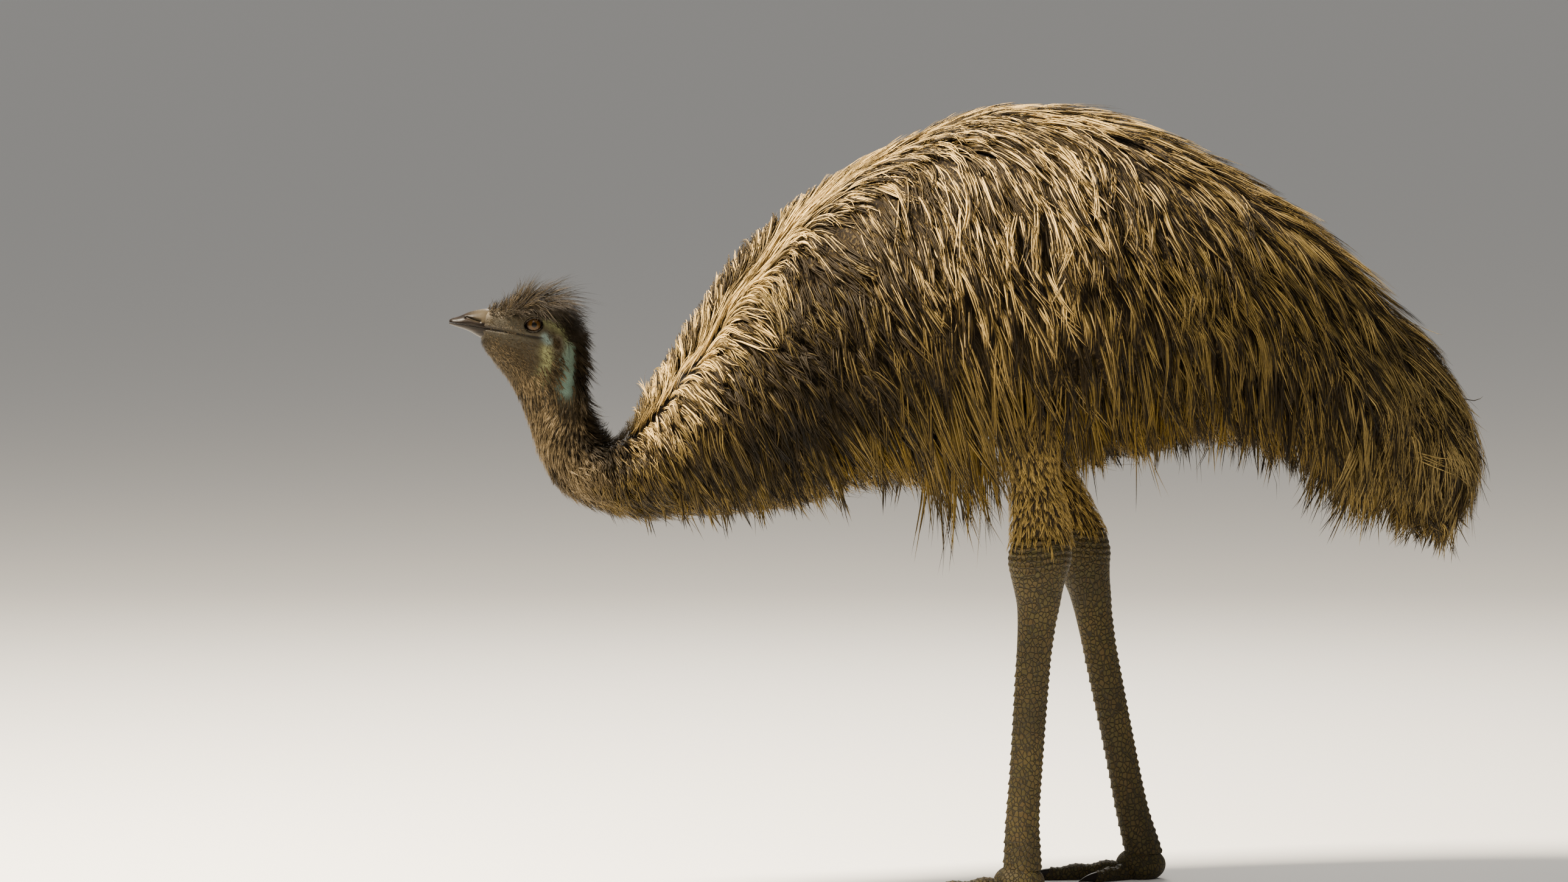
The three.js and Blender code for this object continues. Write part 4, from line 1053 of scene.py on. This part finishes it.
def coat(
    name, clumps, each, u_range, turn_range, length, radius, width, lift=0.0, loose=0.25, density=None,
    tones=feather_tones, slot="plumage", stops=STRAND_STOPS, stand=0.0, hangs=True, swirl=0.2, late=0.3,
    drop=38,
):
    """Clumps of strands over one stretch of the body, as a piece on each side: how many, the
    strands in each, the slices and turns between which they root, their length(u, turn), a
    clump's radius and a strand's half width. lift raises those beside the parting, stand is how
    far tips stand off the skin, as a share of their length, swirl how far neighbours sweep aside
    together, and drop how far the longest hang below the fringe."""
    u, turn = scatter(clumps, u_range, turn_range, density)
    root = outline(u, parted(u, turn))
    lengths = length(u, np.abs(turn)) * rng.uniform(0.7, 1.2, clumps)
    swerve = swirl * ripple(root, 90, 21) + 0.6 * swirl * ripple(root, 28, 22) + rng.normal(0, 0.07, clumps)
    bend = 2 * swirl * ripple(root, 60, 23) + rng.normal(0, 0.16, clumps)
    tip_depth = rng.uniform(0, 1, clumps) ** 1.3 * 0.42
    standing = (stand * rng.uniform(0.4, 1.2, clumps) + 0.1 * rng.uniform(size=clumps) ** 8) * lengths

    def depth(s, u, turn):
        deep = skin_depth(u, turn)
        rise = np.interp(s, [0, 0.12, 0.3, 0.62, 1], [1.1, 0.8, 0.36, 0.12, 0.06])
        parted_here = smooth(11.6, 13.0, u) * (1 - smooth(16.2, 17.6, u))
        valley = bump(turn, 0, 0.25) * parted_here
        parting = lift * bump(np.abs(turn), 0.3, 0.18) * parted_here
        hidden = tip_depth * coat_depth(u) * 0.5 * smooth(0.0, 0.6, s) * (1 - 0.8 * valley)
        under = deep * rise * (1 - 0.25 * valley) + hidden - parting + UNDER_HAIR * (1 - s)
        return under - standing * s**1.3

    tuck = rng.uniform(-20, 12, clumps) + drop * rng.uniform(0, 1, clumps) ** 3
    paths = combed(u, turn, lengths, swerve, bend, depth, hangs, tuck)
    p, n, half_width, share, height = strands(*paths, each, radius, width, loose, stops, late)
    tint = rng.uniform(size=(clumps, each)) * 0.45 + rng.uniform(size=(clumps, 1)) * 0.35
    tint = tint + 0.2 * height.reshape(clumps, each)
    chance = 0.6 * rng.uniform(size=(clumps, 1)) + 0.4 * rng.uniform(size=(clumps, each))

    def at_stops(values):
        """A clump's or a strand's values, for each stop of each strand."""
        values = np.repeat(values, clumps * each // len(values), axis=0)
        return np.repeat(values[:, None], len(stops), axis=1)

    tint, chance = at_stops(tint.ravel()), at_stops(chance.ravel())
    colours = tones(at_stops(u), at_stops(turn), at_stops(root), share, tint, chance)
    roots = np.repeat(np.stack([turn / math.pi * 0.49 + 0.5, u / LAST * 0.99], axis=-1), each, axis=0)
    right_side = np.repeat(turn > 0, each)
    for word, chosen in (("left", ~right_side), ("right", right_side)):
        blades(f"{name}_{word}", *(rows[chosen] for rows in (p, n, half_width, colours, roots)), slot)


def body_length(u, turn):
    """Length of the plumage in millimetres."""
    longer = 22 + 70 * bump(u, 17.1, 1.0) + 20 * bump(u, 21.8, 1.0) - 20 * smooth(22, 23.5, u)
    length = np.interp(u, [10.5, 12.5, 14, 17, 20, 22.5, 24, 25], [50, 68, 86, 98, 102, 118, 115, 95])
    return length + longer * smooth(1.4, 2.2, turn)


def over_leg_density(u, turn):
    """No strands grow where the legs' own short feathers show."""
    x, _, z = np.moveaxis(outline(u, turn), -1, 0)
    return 1 - over_legs(x) * (turn > 1.6) * (z < THIGH_GAP[2] + 4)


def parting_length(u, turn):
    return np.interp(u, [12, 13.5, 17, 18.5], [40, 58, 72, 90])


coat(
    "parting", 920, 5, (11.6, 17.8), (0.0, 0.3), parting_length, 3.6, 0.8, lift=5, late=0.12,
    stops=LONG_STOPS,
)
coat(
    "mantle", 1180, 6, (10.6, 15.2), (0.04, 2.95), body_length, 5.2, 0.84, lift=5, swirl=0.12,
    density=over_leg_density,
)
coat(
    "back", 1150, 6, (15.0, 18.4), (0.02, 1.15), body_length, 4.6, 0.8, lift=5, swirl=0.17,
    density=over_leg_density,
)
coat("flank", 1230, 6, (15.0, 19.5), (1.05, 2.95), body_length, 6.2, 0.96, density=over_leg_density)
coat("rump", 1150, 6, (18.2, 22.2), (0.02, 1.25), body_length, 5.5, 0.85, stand=0.05, swirl=0.26)
coat("thigh", 1020, 6, (19.3, 22.4), (1.15, 3.0), body_length, 6.2, 0.96)
coat("tail", 1120, 6, (22.0, 24.9), (0.02, 3.05), body_length, 6, 0.9, loose=0.7, swirl=0.34, drop=60)


def wisp_length(u, turn):
    return 1.3 * body_length(u, turn)


def wisp_density(u, turn):
    return over_leg_density(u, turn) * np.maximum(smooth(2.0, 2.4, turn), smooth(22.4, 23.4, u))


coat(
    "wisps", 260, 3, (12.5, 24.9), (0.3, 3.0), wisp_length, 4, 0.7, loose=1.1, swirl=0.5, drop=60,
    density=wisp_density, stops=LONG_STOPS, stand=0.05,
)


# Neck: shorter hair-like feathers, which grow longer down to the breast. They are black along the
# nape, where they stand off in a ragged comb, and tan and thin in front.
HAIR = {"slot": "neck_hair", "stops": HAIR_STOPS, "hangs": False}
NECK_TAN = np.array([0.16, 0.116, 0.058])
BARE_BAND = [(-640, 754), (-626, 736), (-624, 700), (-628, 668)]


def neck_length(u, turn):
    return np.interp(u, [5, 7, 9, 10, 11, 12.5], [14, 17, 26, 42, 60, 74])


def off_bands(u, turn):
    """How much hair grows beside the bare bands behind the ear: none on them."""
    x, _, z = np.moveaxis(outline(u, turn), -1, 0)
    return smooth(4, 14, near_line(x, z, BARE_BAND))


def nape_length(u, turn):
    return np.interp(u, [3.8, 5, 7, 8, 9.2], [26, 34, 36, 30, 16])


def neck_tones(u, turn, root, share, tint, chance):
    """Neck: black along the nape, streaked brown below it, and tan in front."""
    side = np.abs(turn)
    front = smooth(0.7, 2.3, side)
    value = np.clip(0.08 + 0.55 * front + 1.1 * (tint - 0.45) + 0.35 * ripple(root, 45, 13), 0, 1)
    black = 1 - smooth(0.4, 1.05, side + 0.12 * ripple(root, 30, 14) + 1.4 * smooth(7.9, 9.8, u))
    middle = DARK + (NECK_TAN - DARK) * value[..., None] * (1 - black[..., None])
    # Each hair's base is dark as painted shade under the others.
    return shaded_strand(DARK, middle, middle * (0.75 + 0.25 * front[..., None]), share)


def neck_base_tones(u, turn, root, share, tint, chance):
    """Where the neck's hair grows into the plumage, each takes on the other's colours."""
    plumed = smooth(9.6, 11.0, u + 0.5 * (chance - 0.5))[..., None]
    hair, plumage = (tones(u, turn, root, share, tint, chance) for tones in (neck_tones, feather_tones))
    return hair + (plumage - hair) * plumed


coat(
    "neck_base", 850, 5, (9.0, 12.0), (0.02, 3.1), neck_length, 4.2, 0.75,
    tones=neck_base_tones, stand=0.12, loose=0.6, **HAIR,
)
coat(
    "neck", 1600, 4, (5.2, 9.8), (0.02, 3.1), neck_length, 2.0, 0.5,
    tones=neck_tones, stand=0.2, density=off_bands, **HAIR,
)
coat(
    "nape", 750, 5, (3.6, 9.2), (0.02, 0.55), nape_length, 3.2, 0.6,
    tones=neck_tones, stand=0.65, loose=0.5, density=off_bands, **HAIR,
)


# Head: thin bristly hair, tan on the forehead and grey and black behind, which stands up over the
# eyes in wisps. The face has only a few short dark bristles.
CROWN_GREY = np.array([0.09, 0.07, 0.05])


def crown_tones(u, turn, root, share, tint, chance):
    front = 1 - smooth(2.0, 3.2, u + 0.5 * ripple(root, 25, 15))
    front = (front * (1 - smooth(0.55, 0.7, np.abs(turn))) * (chance < 0.55))[..., None]
    middle = DARK + (CROWN_GREY - DARK) * (tint**3)[..., None]
    middle = middle + (NECK_TAN * (0.1 + 0.9 * tint[..., None] ** 2) - middle) * front
    # The base is darker as painted shade under the other hairs; the tips are black.
    return shaded_strand(middle * 0.6, middle, middle * 0.12, share)


def crown_length(u, turn):
    tall = np.interp(u, [0.1, 0.7, 1.2, 2.0, 2.7, 3.4, 5], [4, 12, 30, 38, 50, 30, 20])
    return tall * (1 - 0.6 * smooth(0.4, 1, turn))


def bristle_tones(u, turn, root, share, tint, chance):
    tan = (0.25 + 0.75 * smooth(1.7, 2.4, np.abs(turn)) * smooth(0.3, 1.5, u))[..., None]
    middle = DARK + (NECK_TAN - DARK) * tan * (tint[..., None] * 1.3) ** 1.5
    return shaded_strand(middle, middle, middle, share)


def bristle_length(u, turn):
    return np.interp(u, [0, 3, 6], [5, 7, 10]) + 3 * smooth(1.8, 2.6, turn)


def bristle_density(u, turn):
    """Bristles are closest on the throat and round the ear, and there are none on the eye."""
    x, _, z = np.moveaxis(outline(u, turn), -1, 0)
    eye = np.hypot((x - EYE[0]) / 19, (z - EYE[2]) / 15) > 1
    ear = 1.6 * bump(np.hypot(x - EAR[0] + 2, z - EAR[1] + 3), 0, 12)
    low = smooth(1.6, 2.2, turn)
    return (0.35 + 0.65 * low + 0.3 * (1 - smooth(0.7, 1.0, turn)) + ear) * (0.05 + off_bands(u, turn)) * eye


coat(
    "crown", 850, 4, (0.15, 5.0), (0.02, 0.85), crown_length, 3.4, 0.4,
    tones=crown_tones, stand=1.05, loose=0.9, swirl=0.5, **HAIR,
)
coat(
    "face", 1700, 3, (0.2, 5.8), (0.7, 3.1), bristle_length, 2.4, 0.26, density=bristle_density,
    tones=bristle_tones, slot="skin", stops=BRISTLE_STOPS, stand=0.3, hangs=False,
)


# Drumsticks: short tan feathers with dark flecks that lie down the leg, and end in a loose fringe
# over the hock.
DRUMSTICK_TAN = np.array([0.29, 0.2, 0.055])


def drumstick_tones(root, share, tint):
    fleck = ((tint > 0.93) | (ripple(root, 9, 33) > 1.7))[..., None]
    high = smooth(580, 640, root[..., 2])[..., None]
    middle = DRUMSTICK_TAN * (0.45 + 0.7 * tint[..., None]) * (1 - 0.6 * high)
    # The base is darker as painted shade under the other feathers.
    return shaded_strand(middle * 0.7, middle, middle * (1 - 0.8 * fleck), share)


def drumstick_coat(name, leg, clumps, each, steps=6):
    """Short clumps down one leg's drumstick, the lowest ones longer here and there."""
    top, low = np.array(leg[1]), bare_top(leg)
    start, round_it = even_pairs(clumps)
    start, angle = 0.98 * start, (round_it * 2 - 1) * math.pi
    length = rng.uniform(12, 24, clumps) / (top[1] - low[1])
    length = length * (1 + 0.8 * (start > 0.8) * rng.uniform(0, 1, clumps) * np.cos(angle * 2.5) ** 2)
    swerve = rng.normal(0, 0.1, clumps)
    points, normals = [], []
    for s in np.linspace(0, 1, steps + 1):
        place = start + length * s
        skin_now = np.clip(place, 0, 1)
        hover = np.interp(s, [0, 0.3, 1], [-8, -2.5, 0.5]) + 3 * smooth(0.95, 1.1, place)
        p, q = (
            limb_point(leg[0], top, low, DRUMSTICK, skin_now, angle + swerve * s, hover + out)
            for out in (0, 1)
        )
        p[:, 2] -= (place - skin_now) * (top[1] - low[1])
        points.append(p)
        normals.append(unit(q - p))
    points, normals = np.stack(points, axis=1), np.stack(normals, axis=1)
    headings = unit(np.gradient(points, axis=1))
    p, n, half_width, share, _ = strands(points, normals, headings, each, 2.4, 0.55, 0.3, HAIR_STOPS)
    root = np.repeat(points[:, 0], each, axis=0)[:, None].repeat(len(HAIR_STOPS), axis=1)
    tint = np.repeat(rng.uniform(size=(clumps * each, 1)), len(HAIR_STOPS), axis=1)
    roots = np.stack([0.02 + 0.45 * round_it, 0.02 + 0.9 * start], axis=-1).repeat(each, axis=0)
    blades(name, p, n, half_width, drumstick_tones(root, share, tint), roots, "leg_feather")


for leg, word in zip(LEGS, ("left", "right")):
    drumstick_coat("drumstick_coat_" + word, leg, 850, 4)
